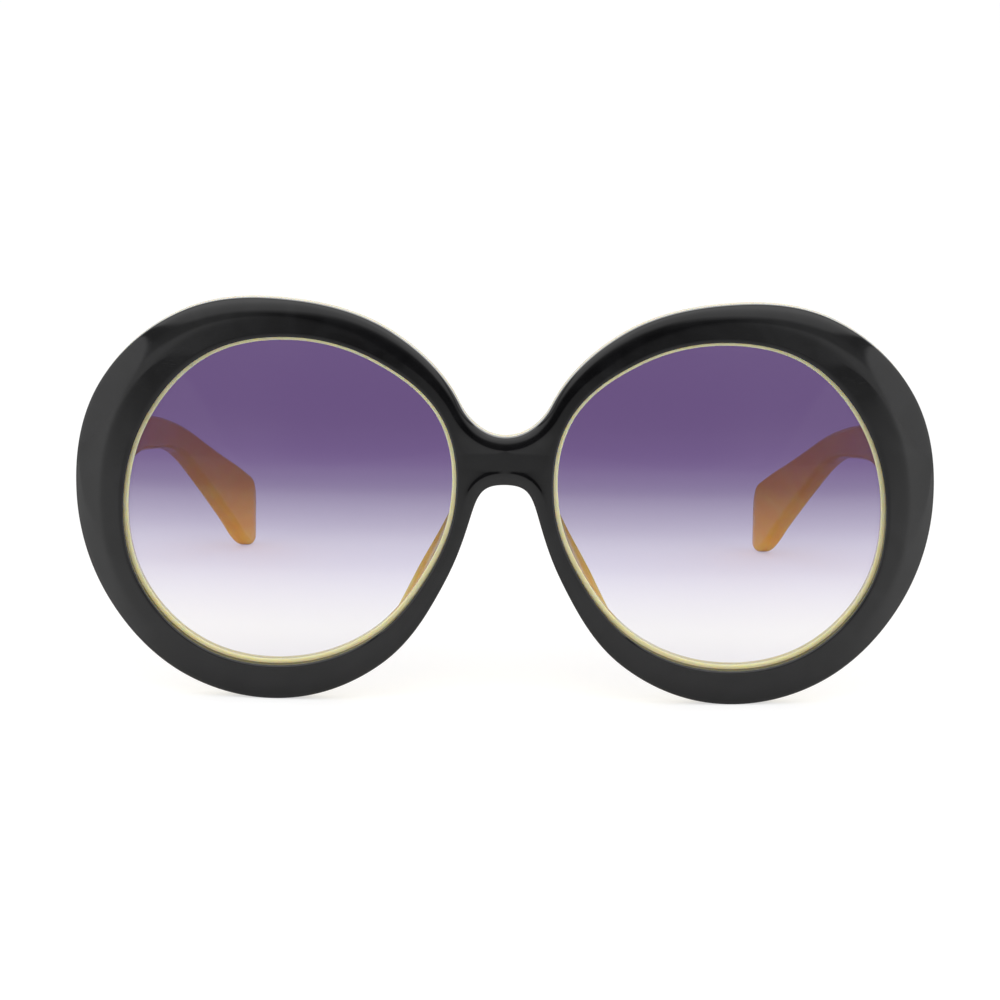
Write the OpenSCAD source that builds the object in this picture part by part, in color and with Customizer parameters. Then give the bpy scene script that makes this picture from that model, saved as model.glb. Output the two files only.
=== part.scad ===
// Oversized round sunglasses: a laminated front, two tinted lenses and two folding temples.
// They stand open on a table, on the bottoms of the rims and the tips of the temples.
// Sizes are in millimetres. The design is drawn with Y = 0 at the front of the rims and Y growing
// towards the wearer, and place() then moves it so that the origin is the middle of its footprint.

/* [Rims] */
// Middle of the nose to the middle of each lens
lens_x = 36.8; // [36:0.1:38]
// Mean radius of the outer edge of a rim
rim_size = 35.3; // [34:0.1:36.5]
// Mean radius of the opening in the black layer
opening_size = 28.6; // [27.5:0.1:29.5]
// Width of the amber lip that shows round each lens
lip_w = 0.75; // [0.4:0.05:1.2]
// Depth of the black layer
black_d = 2.2; // [1.6:0.1:3]
// Depth of the amber layer
amber_d = 3.0; // [2.6:0.1:4]
// How far the black face falls away at the outer edge
crown = 1.3; // [0.6:0.1:1.5]
// Angle by which each rim is swept back
wrap_angle = 5; // [2:0.5:8]

/* [Bridge] */
// Height of the top of the bridge above the lens centres
bridge_top = 11.8; // [10:0.1:13]
// Height of the underside of the bridge above the lens centres
bridge_under = 3.7; // [2:0.1:5]

/* [Lenses] */
// Radius of the front of each lens
lens_radius = 200; // [130:5:400]
// Depth of the V groove that holds the lens
groove_d = 0.9; // [0.6:0.05:1.1]

/* [Nose pads] */
// How far the pads reach behind the rims
pad_d = 8; // [6:0.5:10]
// How far the free edge of a pad leans towards the lens
pad_flare = 1.3; // [0.6:0.1:2.4]
// Thickness of a pad at its free edge
pad_edge = 1.7; // [1.2:0.1:2.5]

/* [Temples] */
// Distance from the middle to the middle of each temple at its joint
temple_x = 69.2; // [68:0.1:69.6]
// Thickness of a temple at its joint
temple_t = 4; // [3.4:0.1:4.6]
// Thickness of a temple near its tip
tip_t = 3.4; // [2.8:0.1:4]
// Y at which the temples meet the end blocks
joint_y = 17.5; // [16:0.5:19]
// Y of the tips of the temples
tip_y = 149.5; // [148:0.5:152]
// Angle at which the temples lean inwards from their joints
lean_angle = 1.3; // [0:0.1:2]
// How far the tips curl inwards beyond that lean
curl = 13.6; // [6:0.2:15]

/* [Hinges] */
// Height of the middle of each hinge
hinge_z = 40.6; // [39.5:0.1:41.5]
// Outer radius of the knuckles
knuckle_r = 1.25; // [1.15:0.05:1.35]
// Radius of the hinge screw
screw_r = 0.55; // [0.45:0.05:0.65]
// Height of one knuckle and its gap
knuckle_pitch = 1.5; // [1.2:0.1:1.8]

/* [Hidden] */

black = "#1c1c1e";
amber = "#d99a2b";
tint = "#8f7fb5";
steel = "#c9c9c6";
gold = "#c8a24a";

// What the outer edge adds to rim_size every 30 degrees, from the temple side and going up
rim_bulge = [1.9, 3.2, 2.1, -0.65, -1.15, -1.6, -4.3, -5.4, -3.0, -0.55, 0.8, 1.1];
// What the opening adds to opening_size at the same angles
opening_bulge = [0.35, 0.1, 0.5, -0.2, 0.1, 1.35, -0.35, -1.85, -1.0, 0.2, 1.65, 1.6];
// Where the rim's own curve hands over to the bridge, above and below
bridge_from = 149;
bridge_to = -164;
// Reach of the curves that join bridge and rim: beside the nose line, then along the rim
top_reach = [3.4, 3.5];
under_reach = [5.6, 9.4];
// Half the width of the flat of the bridge, and the distance over which the sweep-back then starts
bridge_flat = 5.5;
wrap_blend = 2.5;

bezier_steps = 9;
rim_steps = 52;
nose_steps = 2;

// Share of the rim's width that the crown takes up and that it may fall, and the steps of its curve
crown_share = 0.55;
crown_limit = 0.17;
crown_steps = [0, 0.35, 0.6, 0.8, 0.93, 1];
front_chamfer = 0.35;
back_round = 0.8;
lip_d = 0.5;
back_lip_d = 0.7;
lens_gap = 0.05;
lens_rings = [0.3, 0.6, 0.85, 1];

// Angles between which a pad stands on the rim, and how far its foot stays inside the rim's edges
pad_steps = 14;
pad_from = 180;
pad_to = 234;
pad_outer_gap = 1.1;
pad_inner_gap = 0.3;
// The waist of a pad: share of its depth, and share of its lean
pad_waist = [0.55, 0.4];

// Side view of a temple: distance behind the joint, height of the middle line, and width there
temple_side = [
    [0, 40.6, 13.5], [14.5, 39.9, 9.6], [32.5, 38.7, 7.4], [57.5, 34.8, 6.1], [72.5, 31.7, 5.5],
    [84.5, 27.8, 6.3], [96.5, 22.65, 8.1], [108.5, 17.05, 10.5], [120.5, 10.95, 13.7], [132, 3.7, 18.2]
];
// Y at which a temple starts to curl inwards
curl_y = 40;
// Length over which the tip is rounded, at its top and at its underside
tip_round = 4.5;
under_round = 12;
// What is left of the thickness and of the height at the very tip
tip_thin = 0.35;
tip_blunt = 0.045;
edge_round = 1.2;
joint_gap = 0.1;
body_steps = 24;
tip_angles = [12, 24, 36, 47, 57, 67, 76, 84, 90];

// End block: width where it leaves the rim, and how its outer side runs out of the rim and into the temple
block_base_w = 4.6;
block_out = 4;
block_in = 3;
block_corner_r = 1;
block_steps = 5;

// Radial gap of parts that are screwed tight, and of the knuckles that turn
tight_gap = 0.01;
turning_gap = 0.05;
leaf_t = 0.9;
leaf_proud = 0.05;
leaf_h = 5 * knuckle_pitch;
front_leaf_l = 5.9;
temple_leaf_l = 8;
knuckle_gap = 0.06;
// How far the knuckles stay inside the back of their plate, and how far a plate stays from them
knuckle_in = 0.05;
plate_clear = 0.1;
// Where the fillet of a knuckle's root meets its plate, and where the root starts
root_l = 2.6;
root_clear = 0.15;
// Small screws: distance from the joint on the front and on the temple, and half the distance between two
front_screw_y = 4.3;
temple_screw_y = 5.9;
small_screw_z = 2.2;
small_screw_r = 0.5;
small_screw_l = 1.7;
small_head_r = 0.85;
small_head_h = 0.4;
head_r = 0.95;
head_h = 0.6;
slot_w = 0.4;
// How far the hinge screw stops short of the end of the lowest knuckle
screw_end = 0.1;

back_y = black_d + amber_d;
groove_y = black_d + lip_d + (amber_d - lip_d - back_lip_d) / 2;
inner_x = temple_x - temple_t / 2;
pin_x = inner_x + leaf_t - leaf_proud - knuckle_in - knuckle_r;
barrel_top = hinge_z + leaf_h / 2 - knuckle_gap / 2;
// The lowest point of the outer edge stands on the table
lens_z = max([for (q = [180 : 3 : 360]) -rim_r(q) * sin(q)]);

// Small helpers
function lerp(a, b, t) = a + (b - a) * t;
function unit(v) = v / norm(v);
function bezier(a, b, c, d, t) =
    pow(1 - t, 3) * a + 3 * pow(1 - t, 2) * t * b + 3 * (1 - t) * t * t * c + pow(t, 3) * d;

// Column c of a table whose first column is Y, as a smooth curve
function slope_at(rows, i, c) =
    let (a = rows[max(i - 1, 0)], b = rows[min(i + 1, len(rows) - 1)]) (b[c] - a[c]) / (b[0] - a[0]);
function along(rows, y, c) =
    let (
        i = max([0, for (k = [0 : len(rows) - 2]) if (rows[k][0] <= y) k]),
        a = rows[i], b = rows[i + 1], w = b[0] - a[0], t = (y - a[0]) / w
    )
    (2 * t * t * t - 3 * t * t + 1) * a[c] + (t * t * t - 2 * t * t + t) * w * slope_at(rows, i, c)
    + (3 * t * t - 2 * t * t * t) * b[c] + (t * t * t - t * t) * w * slope_at(rows, i + 1, c);

// Smooth closed curve through values that are spread evenly over 360 degrees
function around(values, q) =
    let (
        n = len(values), u = (q + 360) / 360 * n, i = floor(u), f = u - i,
        p = [for (k = [-1 : 2]) values[(i + k + n) % n]]
    )
    p[1] + 0.5 * f * (p[2] - p[0] + f * (2 * p[0] - 5 * p[1] + 4 * p[2] - p[3]
    + f * (3 * (p[1] - p[2]) + p[3] - p[0])));

// Points of one half of the front, seen from the front
function polar(q, r) = [lens_x + r * cos(q), lens_z + r * sin(q)];
function rim_r(q) = rim_size + around(rim_bulge, q);
function rim(q) = polar(q, rim_r(q));
// Edge of the opening at angle q, grown by d
function opening(q, d) = polar(q, opening_size + around(opening_bulge, q) + d);

// Outline of one half, from the top of the bridge over the rim to the bridge's underside
function rim_heading(q) = unit(rim(q - 1) - rim(q + 1));
top_mid = [0, lens_z + bridge_top];
under_mid = [0, lens_z + bridge_under];
outline = [
    for (k = [0 : bezier_steps - 1])
        bezier(top_mid, top_mid + [top_reach[0], 0],
            rim(bridge_from) - rim_heading(bridge_from) * top_reach[1], rim(bridge_from), k / bezier_steps),
    for (k = [0 : rim_steps]) rim(lerp(bridge_from, bridge_to, k / rim_steps)),
    for (k = [1 : bezier_steps])
        bezier(rim(bridge_to), rim(bridge_to) + rim_heading(bridge_to) * under_reach[1],
            under_mid + [under_reach[0], 0], under_mid, k / bezier_steps)
];
edge_n = len(outline);
ring_n = edge_n + nose_steps;
outward = [
    for (i = [0 : edge_n - 1])
        i == 0 ? [0, 1] : i == edge_n - 1 ? [0, -1]
        : let (t = unit(outline[i + 1] - outline[i - 1])) [-t.y, t.x]
];
// Angle of each outline point and nose line point about the lens centre, always falling
nose_line = [for (k = [1 : nose_steps]) lerp(under_mid, top_mid, k / (nose_steps + 1))];
angles = [
    for (i = [0 : ring_n - 1])
        let (p = i < edge_n ? outline[i] : nose_line[i - edge_n], q = atan2(p.y - lens_z, p.x - lens_x))
        i > ring_n / 2 && q > 0 ? q - 360 : q
];
// Width of the rim at each outline point, eased to half the bridge's height at the nose line
bridge_half = (bridge_top - bridge_under) / 2;
edge_w = [
    for (i = [0 : edge_n - 1])
        let (
            own = norm(outline[i] - opening(angles[i], 0)),
            t = min(i, edge_n - 1 - i) / bezier_steps,
            joined = i < edge_n / 2 ? norm(rim(bridge_from) - opening(bridge_from, 0))
                : norm(rim(bridge_to) - opening(bridge_to, 0))
        )
        t < 1 ? lerp(bridge_half, joined, t) : own
];
function crown_at(i) = min(crown, crown_limit * edge_w[i]);

// Sweep-back of a point at distance x from the middle
function wrap(x) =
    let (a = max(0, abs(x) - bridge_flat))
    tan(wrap_angle) * (a < wrap_blend ? a * a / (2 * wrap_blend) : a - wrap_blend / 2);
function at_depth(p, y) = [p.x, y + wrap(p.x), p.y];

// Rings of points round one half of the front. A ring is [points, meets the nose line].
function opening_ring(d, y) = [[for (q = angles) at_depth(opening(q, d), y)], false];
function edge_ring(insets, ys) =
    let (e = [for (i = [0 : edge_n - 1]) outline[i] - outward[i] * insets[i]])
    [
        [
            for (i = [0 : edge_n - 1]) at_depth(e[i], ys[i]),
            for (k = [1 : nose_steps])
                let (t = k / (nose_steps + 1))
                at_depth(lerp(e[edge_n - 1], e[0], t), lerp(ys[edge_n - 1], ys[0], t))
        ],
        true
    ];
function even(v) = [for (i = [0 : edge_n - 1]) v];
// A ring half way between the opening and the edge, which follows the sweep of the nose
function middle_ring(d, inset_share, y) =
    let (e = edge_ring(edge_w * inset_share, even(0))[0], o = opening_ring(d, 0)[0])
    [
        [for (i = [0 : ring_n - 1]) at_depth([(e[i].x + o[i].x) / 2, (e[i].z + o[i].z) / 2], y)],
        false
    ];

// Both halves of the front from one list of rings. Rings open_from to open_to leave out the
// strips along the nose line, where the two halves meet. The strips in turned are cut along
// their other diagonal, so that the layers meet in the same triangles.
module front_layer(rings, open_from, open_to, turned = []) {
    count = len(rings);
    function shared(j, i) = rings[j][1] && (i == 0 || i >= edge_n - 1);
    function id(h, j, i) = (shared(j, i) ? 0 : h * count * ring_n) + j * ring_n + i;
    polyhedron(
        [for (side = [1, -1], ring = rings, p = ring[0]) [side * p.x, p.y, p.z]],
        [
            for (h = [0, 1], j = [0 : count - 1])
                let (next = (j + 1) % count, is_open = j >= open_from && j < open_to)
                for (i = [0 : (is_open ? edge_n - 2 : ring_n - 1)])
                    let (
                        k = (i + 1) % ring_n,
                        a = id(h, j, i), b = id(h, j, k), c = id(h, next, k), d = id(h, next, i),
                        halves = len(search(j, turned)) > 0 ? [[a, b, d], [b, c, d]] : [[a, b, c], [a, c, d]]
                    )
                    for (t = halves) h == 0 ? [t[0], t[2], t[1]] : t
        ]
    );
}

// Black front layer, with a soft crown from its flat to the outer edge
module front_face() {
    crown_rings = [
        for (v = crown_steps)
            edge_ring(
                edge_w * crown_share * (1 - v),
                [for (i = [0 : edge_n - 1]) crown_at(i) * (1 - sqrt(1 - v * v))]
            )
    ];
    rings = [
        opening_ring(0, black_d),
        opening_ring(0, front_chamfer),
        opening_ring(front_chamfer, 0),
        middle_ring(front_chamfer, crown_share, 0),
        each crown_rings,
        edge_ring(even(0), even(black_d)),
        middle_ring(0, 0, black_d)
    ];
    color(black) place() front_layer(rings, 4, 4 + len(crown_rings));
}

// Amber back layer, with the lip round each lens and the V groove that holds it
module front_backing() {
    round_rings = [
        for (a = [0, 30, 60, 90])
            edge_ring(even(back_round * (1 - cos(a))), even(back_y - back_round * (1 - sin(a))))
    ];
    rings = [
        middle_ring(0, 0, black_d),
        edge_ring(even(0), even(black_d)),
        each round_rings,
        middle_ring(-lip_w, 0, back_y),
        opening_ring(-lip_w, back_y),
        opening_ring(-lip_w, back_y - back_lip_d),
        opening_ring(-lip_w + groove_d, groove_y),
        opening_ring(-lip_w, black_d + lip_d),
        opening_ring(-lip_w, black_d),
        opening_ring(0, black_d)
    ];
    color(amber) place() front_layer(rings, 1, 1 + len(round_rings), [0, len(rings) - 1]);
}

// A tinted lens: two domed faces and a bevelled edge that seats in the groove
module lens() {
    half_t = groove_y - black_d - lip_d - lens_gap;
    centre = polar(0, 0);
    sag = opening_size * opening_size / (2 * lens_radius);
    function face_y(s, side) = groove_y + side * half_t - sag * (1 - s * s);
    function face_ring(s, side) =
        [for (q = angles) at_depth(lerp(centre, opening(q, -lip_w), s), face_y(s, side))];
    points = [
        at_depth(centre, face_y(0, -1)),
        for (s = lens_rings) each face_ring(s, -1),
        for (q = angles) at_depth(opening(q, -lip_w + groove_d - 2 * lens_gap), groove_y),
        for (j = [len(lens_rings) - 1 : -1 : 0]) each face_ring(lens_rings[j], 1),
        at_depth(centre, face_y(0, 1))
    ];
    rows = 2 * len(lens_rings) + 1;
    last = rows * ring_n + 1;
    function id(j, k) = 1 + j * ring_n + k % ring_n;
    polyhedron(points, [
        for (k = [0 : ring_n - 1]) each [
            [0, id(0, k), id(0, k + 1)],
            [last, id(rows - 1, k + 1), id(rows - 1, k)]
        ],
        for (j = [0 : rows - 2], k = [0 : ring_n - 1]) each [
            [id(j, k), id(j + 1, k), id(j + 1, k + 1)],
            [id(j, k), id(j + 1, k + 1), id(j, k + 1)]
        ]
    ]);
}

// A solid through closed sections that all have the same number of points
module loft(sections) {
    n = len(sections[0]);
    rows = len(sections);
    polyhedron(
        [for (s = sections) each s],
        [
            for (j = [0 : rows - 2], k = [0 : n - 1])
                let (a = j * n + k, b = j * n + (k + 1) % n)
                each [[a, b, b + n], [a, b + n, a + n]],
            [for (k = [n - 1 : -1 : 0]) k],
            [for (k = [0 : n - 1]) (rows - 1) * n + k]
        ]
    );
}

// A nose pad: a fin behind the nasal rim whose free edge leans towards the lens
module nose_pad() {
    loft([
        for (k = [0 : pad_steps])
            let (
                t = k / pad_steps, q = lerp(pad_from, pad_to, t), rise = sqrt(max(sin(180 * t), 0.02)),
                near = polar(q, rim_r(q) - pad_outer_gap), far = opening(q, pad_inner_gap - lip_w),
                out = unit(near - far), d = pad_d * rise, half = pad_edge / 2 * lerp(0.6, 1, rise),
                flare = pad_flare * pow(rise, 1.5), tip = (near + far) / 2 - out * flare,
                waist = tip + out * flare * (1 - pad_waist[1])
            )
            [
                at_depth(near, back_y), at_depth(far, back_y),
                at_depth(waist - out * half, back_y + d * pad_waist[0]),
                at_depth(tip - out * half, back_y + d - half * rise),
                at_depth(tip, back_y + d),
                at_depth(tip + out * half, back_y + d - half * rise),
                at_depth(waist + out * half * 1.2, back_y + d * pad_waist[0])
            ]
    ]);
}

// End block that carries the hinge, on the back of a rim
module end_block() {
    top = temple_top(joint_y);
    under = temple_under(joint_y);
    base_x = inner_x + block_base_w;
    base_y = back_y + wrap(base_x);
    outer_side = [
        for (k = [0 : block_steps])
            bezier([base_x, base_y], [base_x, joint_y - block_out], [inner_x + temple_t, joint_y - block_in],
                [inner_x + temple_t, joint_y], k / block_steps)
    ];
    difference() {
        intersection() {
            translate([0, 0, under - 1]) linear_extrude(top - under + 2)
                polygon([[inner_x, joint_y], [inner_x, back_y + wrap(inner_x)], each outer_side]);
            translate([inner_x, joint_y + 1, under]) rotate([90, 0, 0])
                linear_extrude(joint_y - back_y + 2) outer_rounded(block_base_w, top - under, block_corner_r);
        }
        leaf_pocket(-1, front_leaf_l);
    }
}
module outer_rounded(w, h, r) {
    translate([0, r]) square([w, h - 2 * r]);
    square([w - r, h]);
    for (z = [r, h - r]) translate([w - r, z]) circle(r, $fn = 48);
}

// Where the two small screws of a leaf go, on the front's side (-1) or the temple's side (1)
module leaf_screw_places(side) {
    y = joint_y + (side > 0 ? temple_screw_y : -front_screw_y);
    for (z = [-small_screw_z, small_screw_z])
        translate([inner_x - leaf_proud, y, hinge_z + z]) rotate([0, 90, 0]) children();
}
module leaf_screws(side) {
    leaf_screw_places(side) difference() {
        union() {
            cylinder(h = small_head_h, r = small_head_r, $fn = 32);
            cylinder(h = small_screw_l, r = small_screw_r, $fn = 32);
        }
        translate([-small_head_r - 1, -slot_w / 2, -1])
            cube([2 * small_head_r + 2, slot_w, 1 + small_head_h / 2]);
    }
}
// Recess that a leaf and its screws take in the plastic
module leaf_pocket(side, length) {
    depth = leaf_t - leaf_proud + 2 * tight_gap;
    translate([
        inner_x - 1, joint_y + (side > 0 ? -1 : -length - turning_gap), hinge_z - leaf_h / 2 - knuckle_gap
    ])
        cube([1 + depth, length + 1 + turning_gap, leaf_h + 2 * knuckle_gap]);
    leaf_screw_places(side)
        cylinder(h = small_screw_l + turning_gap, r = small_screw_r + tight_gap, $fn = 32);
}

// Hinge leaf: a plate let into the plastic, with knuckles on the levels named
module leaf(side, levels, length, bore_r) {
    plate_x = inner_x - leaf_proud;
    plate_from = knuckle_r + plate_clear;
    difference() {
        union() {
            translate([plate_x, joint_y + (side > 0 ? plate_from : -length), hinge_z - leaf_h / 2])
                cube([leaf_t, length - plate_from, leaf_h]);
            for (n = levels)
                translate([0, 0, hinge_z + (n - 2.5) * knuckle_pitch + knuckle_gap / 2])
                    linear_extrude(knuckle_pitch - knuckle_gap) {
                        translate([pin_x, joint_y]) circle(knuckle_r, $fn = 64);
                        polygon([
                            [pin_x, joint_y + side * knuckle_r * 0.98], [plate_x, joint_y + side * root_l],
                            [pin_x + knuckle_r * 0.98, joint_y + side * root_l],
                            [pin_x + knuckle_r * 0.98, joint_y + side * root_clear]
                        ]);
                    }
        }
        translate([pin_x, joint_y, hinge_z - leaf_h]) cylinder(h = 2 * leaf_h, r = bore_r, $fn = 64);
        translate([pin_x, joint_y, barrel_top - head_h - tight_gap])
            cylinder(h = head_h + 1, r = head_r + 2 * tight_gap, $fn = 64);
        leaf_screw_places(side) {
            translate([0, 0, -1]) cylinder(h = 4, r = small_screw_r + 2 * tight_gap, $fn = 32);
            translate([0, 0, -1])
                cylinder(h = 1 + small_head_h + tight_gap, r = small_head_r + 2 * tight_gap, $fn = 32);
        }
    }
}
module front_leaf() leaf(-1, [0, 2, 4], front_leaf_l, screw_r + tight_gap);
module temple_leaf() leaf(1, [1, 3], temple_leaf_l, screw_r + turning_gap);

// Slotted screw that pins the two leaves together, its head let into the top knuckle
module hinge_screw() {
    under = hinge_z - leaf_h / 2 + knuckle_gap / 2 + screw_end;
    translate([pin_x, joint_y, 0]) difference() {
        union() {
            translate([0, 0, under]) cylinder(h = barrel_top - under - head_h / 2, r = screw_r, $fn = 64);
            translate([0, 0, barrel_top - head_h]) cylinder(h = head_h, r = head_r, $fn = 64);
        }
        translate([-head_r - 1, -slot_w / 2, barrel_top - head_h / 2])
            cube([2 * head_r + 2, slot_w, head_h]);
    }
}

// A temple: its side view swept along a plan that leans in and then curls in towards the tip
function temple_plan(y) =
    temple_x - tan(lean_angle) * (y - joint_y)
    - (y < curl_y ? 0 : curl * pow((y - curl_y) / (tip_y - curl_y), 2));
function end_round(y, length) =
    let (e = max(0, (y - tip_y + length) / length)) max(tip_blunt, sqrt(max(0, 1 - e * e)));
function side_value(y, c) =
    along(temple_side, (y - joint_y) / (tip_y - joint_y) * temple_side[len(temple_side) - 1][0], c);
function temple_top(y) = side_value(y, 1) + side_value(y, 2) / 2 * end_round(y, tip_round);
function temple_under(y) = side_value(y, 1) - side_value(y, 2) / 2 * end_round(y, under_round);
function temple_section(y) =
    let (
        top = temple_top(y), under = temple_under(y), x = temple_plan(y),
        half = lerp(temple_t, tip_t, (y - joint_y) / (tip_y - joint_y)) / 2
            * lerp(tip_thin, 1, end_round(y, tip_round)),
        r = min(edge_round, half * 0.75, (top - under) * 0.3), m = r * (1 - sqrt(0.5))
    )
    [
        for (c = [[1, under, 1], [1, top, -1], [-1, top, -1], [-1, under, 1]])
            let (
                corner = [
                    [x + c[0] * (half - r), c[1]], [x + c[0] * (half - m), c[1] + c[2] * m],
                    [x + c[0] * half, c[1] + c[2] * r]
                ]
            )
            for (p = c[0] == c[2] ? corner : [corner[2], corner[1], corner[0]]) [p.x, y, p.y]
    ];
module temple() {
    start = joint_y + joint_gap;
    round_y = tip_y - under_round;
    difference() {
        loft([
            for (k = [0 : body_steps]) temple_section(lerp(start, round_y, pow(k / body_steps, 1.2))),
            for (a = tip_angles) temple_section(lerp(round_y, tip_y, sin(a)))
        ]);
        leaf_pocket(1, temple_leaf_l);
    }
}

// The left side is the wearer's left, at +X
module place() {
    translate([0, -tip_y / 2, 0]) children();
}
module left() {
    place() children();
}
module right() {
    place() mirror([1, 0, 0]) children();
}

front_face();
front_backing();
color(tint) left() lens();  // left_lens
color(tint) right() lens();  // right_lens
color(amber) left() nose_pad();  // left_nose_pad
color(amber) right() nose_pad();  // right_nose_pad
color(amber) left() end_block();  // left_end_block
color(amber) right() end_block();  // right_end_block
color(gold) left() front_leaf();  // left_front_leaf
color(gold) right() front_leaf();  // right_front_leaf
color(steel) left() leaf_screws(-1);  // left_front_leaf_screws
color(steel) right() leaf_screws(-1);  // right_front_leaf_screws
color(steel) left() hinge_screw();  // left_hinge_screw
color(steel) right() hinge_screw();  // right_hinge_screw
color(amber) left() temple();  // left_temple
color(amber) right() temple();  // right_temple
color(gold) left() temple_leaf();  // left_temple_leaf
color(gold) right() temple_leaf();  // right_temple_leaf
color(steel) left() leaf_screws(1);  // left_temple_leaf_screws
color(steel) right() leaf_screws(1);  // right_temple_leaf_screws
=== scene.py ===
"""Oversized round sunglasses: a laminated acetate front, gradient lenses and two folding temples.

Sizes are in metres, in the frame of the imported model. +X is the wearer's left, +Y points back to
the wearer and the table is Z = 0. The design draws Y = 0 at the front of the rims, and placed()
moves it so that the origin is the middle of the footprint.
"""

import math
from contextlib import contextmanager

import bmesh
import bpy
import numpy as np
from bpy.props import FloatProperty, FloatVectorProperty, IntProperty, PointerProperty
from mathutils import Matrix, Vector


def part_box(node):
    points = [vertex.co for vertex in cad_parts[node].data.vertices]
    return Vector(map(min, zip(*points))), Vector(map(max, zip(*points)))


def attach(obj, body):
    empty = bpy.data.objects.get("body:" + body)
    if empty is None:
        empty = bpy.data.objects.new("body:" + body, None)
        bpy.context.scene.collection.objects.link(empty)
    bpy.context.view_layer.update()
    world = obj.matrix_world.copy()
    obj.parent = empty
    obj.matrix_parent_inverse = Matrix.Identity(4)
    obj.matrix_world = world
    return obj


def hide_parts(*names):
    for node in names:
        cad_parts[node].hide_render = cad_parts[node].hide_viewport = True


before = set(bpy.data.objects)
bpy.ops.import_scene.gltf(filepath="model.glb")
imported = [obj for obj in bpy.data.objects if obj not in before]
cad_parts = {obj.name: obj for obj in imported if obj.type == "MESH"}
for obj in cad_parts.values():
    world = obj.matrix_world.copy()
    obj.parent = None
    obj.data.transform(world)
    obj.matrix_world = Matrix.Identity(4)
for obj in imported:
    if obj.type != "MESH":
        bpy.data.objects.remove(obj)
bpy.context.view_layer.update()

bl_info = {
    "name": "Oversized Sunglasses",
    "version": (1, 0, 0),
    "blender": (4, 5, 0),
    "location": "3D View > Sidebar > Sunglasses",
    "description": "Builds laminated acetate sunglasses with gradient lenses and folding temples",
    "category": "Add Mesh",
}

MM = 0.001
SIDES = {"left": 1, "right": -1}

# What the outer edge adds to rim_size every 30 degrees, from the temple side and going up
RIM_BULGE = [1.9, 3.2, 2.1, -0.65, -1.15, -1.6, -4.3, -5.4, -3.0, -0.55, 0.8, 1.1]
# What the opening adds to opening_size at the same angles
OPENING_BULGE = [0.35, 0.1, 0.5, -0.2, 0.1, 1.35, -0.35, -1.85, -1.0, 0.2, 1.65, 1.6]
# Where the rim's own curve hands over to the bridge, above and below
BRIDGE_FROM = 149
BRIDGE_TO = -164
# Angle on the opening that is joined to the middle of the bridge's underside
UNDER_MEETS = -193
# Reach of the curves that join bridge and rim: beside the nose line, then along the rim
TOP_REACH = (3.4, 3.5)
UNDER_REACH = (5.6, 9.4)
# Side view of a temple: distance behind the joint, height of the middle line, and width there
TEMPLE_SIDE = [
    (0, 40.6, 13.5), (14.5, 39.9, 9.6), (32.5, 38.7, 7.4), (57.5, 34.8, 6.1), (72.5, 31.7, 5.5),
    (84.5, 27.8, 6.3), (96.5, 22.65, 8.1), (108.5, 17.05, 10.5), (120.5, 10.95, 13.7),
    (132, 3.7, 18.2),
]
HINGE_Z = TEMPLE_SIDE[0][1] * MM
# Most that the long edges of a temple are rounded, as shares of half its thickness and its height
ROUND_OF_HALF, ROUND_OF_HEIGHT = 0.75, 0.3

# Rings of the front: round a small edge of the black layer and of the amber one, over the crown,
# across a flat that shows and across one that is hidden
BLACK_EDGE_RINGS, EDGE_RINGS, CROWN_RINGS, FLAT_RINGS, HIDDEN_RINGS = 6, 7, 18, 5, 2
# Points round a corner of a section, and the sections of each piece
ARC_POINTS, TEMPLE_SECTIONS, TIP_SECTIONS, BLOCK_SECTIONS, PAD_SECTIONS = 7, 110, 30, 28, 21
MITRE_SECTIONS, BLOCK_MITRE_SECTIONS = 5, 4
# Points closer than this are one, and edges sharper than this many degrees stay crisp
WELD, LEAF_WELD, CRISP, LENS_CRISP, SCREW_CRISP = 1e-7, 0.001 * MM, 35, 25, 50
# Faces of a packed leaf that turn less than this are flat
FLAT = math.radians(1)
# Seed of the first job of screws, which turns their slots
FIRST_SEED = 5
# The box that cuts a hinge recess runs this far past the joint and out of the temple's side
PAST_JOINT, PAST_SIDE = 2 * MM, 3 * MM

# Nose pads: least rise at the ends, share of the thickness there, fullness of the back of the
# waist, how fast the lean grows, and how tightly the edges sharper than an angle are held
PAD_LEAST, PAD_END, PAD_FULL, PAD_GROW = 0.02, 0.6, 1.2, 1.5
PAD_HOLD, PAD_SHARP = 0.75, math.radians(50)
# End blocks: rounding of the inner edges, and the least that the mitre leaves of a rounding
BLOCK_SMALL, BLOCK_LEAST = 0.25 * MM, 0.02 * MM


def setting(kind, scale=1, **fixed):
    """Makes settings of one kind for the sidebar, each with a name, a description and a value."""

    def make(name, description, value):
        return kind(name=name, description=description, default=value * scale, **fixed)

    return make


# Written in millimetres and in degrees, and kept in metres and in radians
length = setting(FloatProperty, MM, unit="LENGTH", precision=4)
degrees = setting(FloatProperty, math.radians(1), subtype="ANGLE")
share = setting(FloatProperty, min=0, max=1, subtype="FACTOR")
colour = setting(FloatVectorProperty, size=3, min=0, max=1, subtype="COLOR")
steps = setting(IntProperty)
focal_length = setting(FloatProperty, unit="CAMERA")
power = setting(FloatProperty, unit="POWER")


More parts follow.
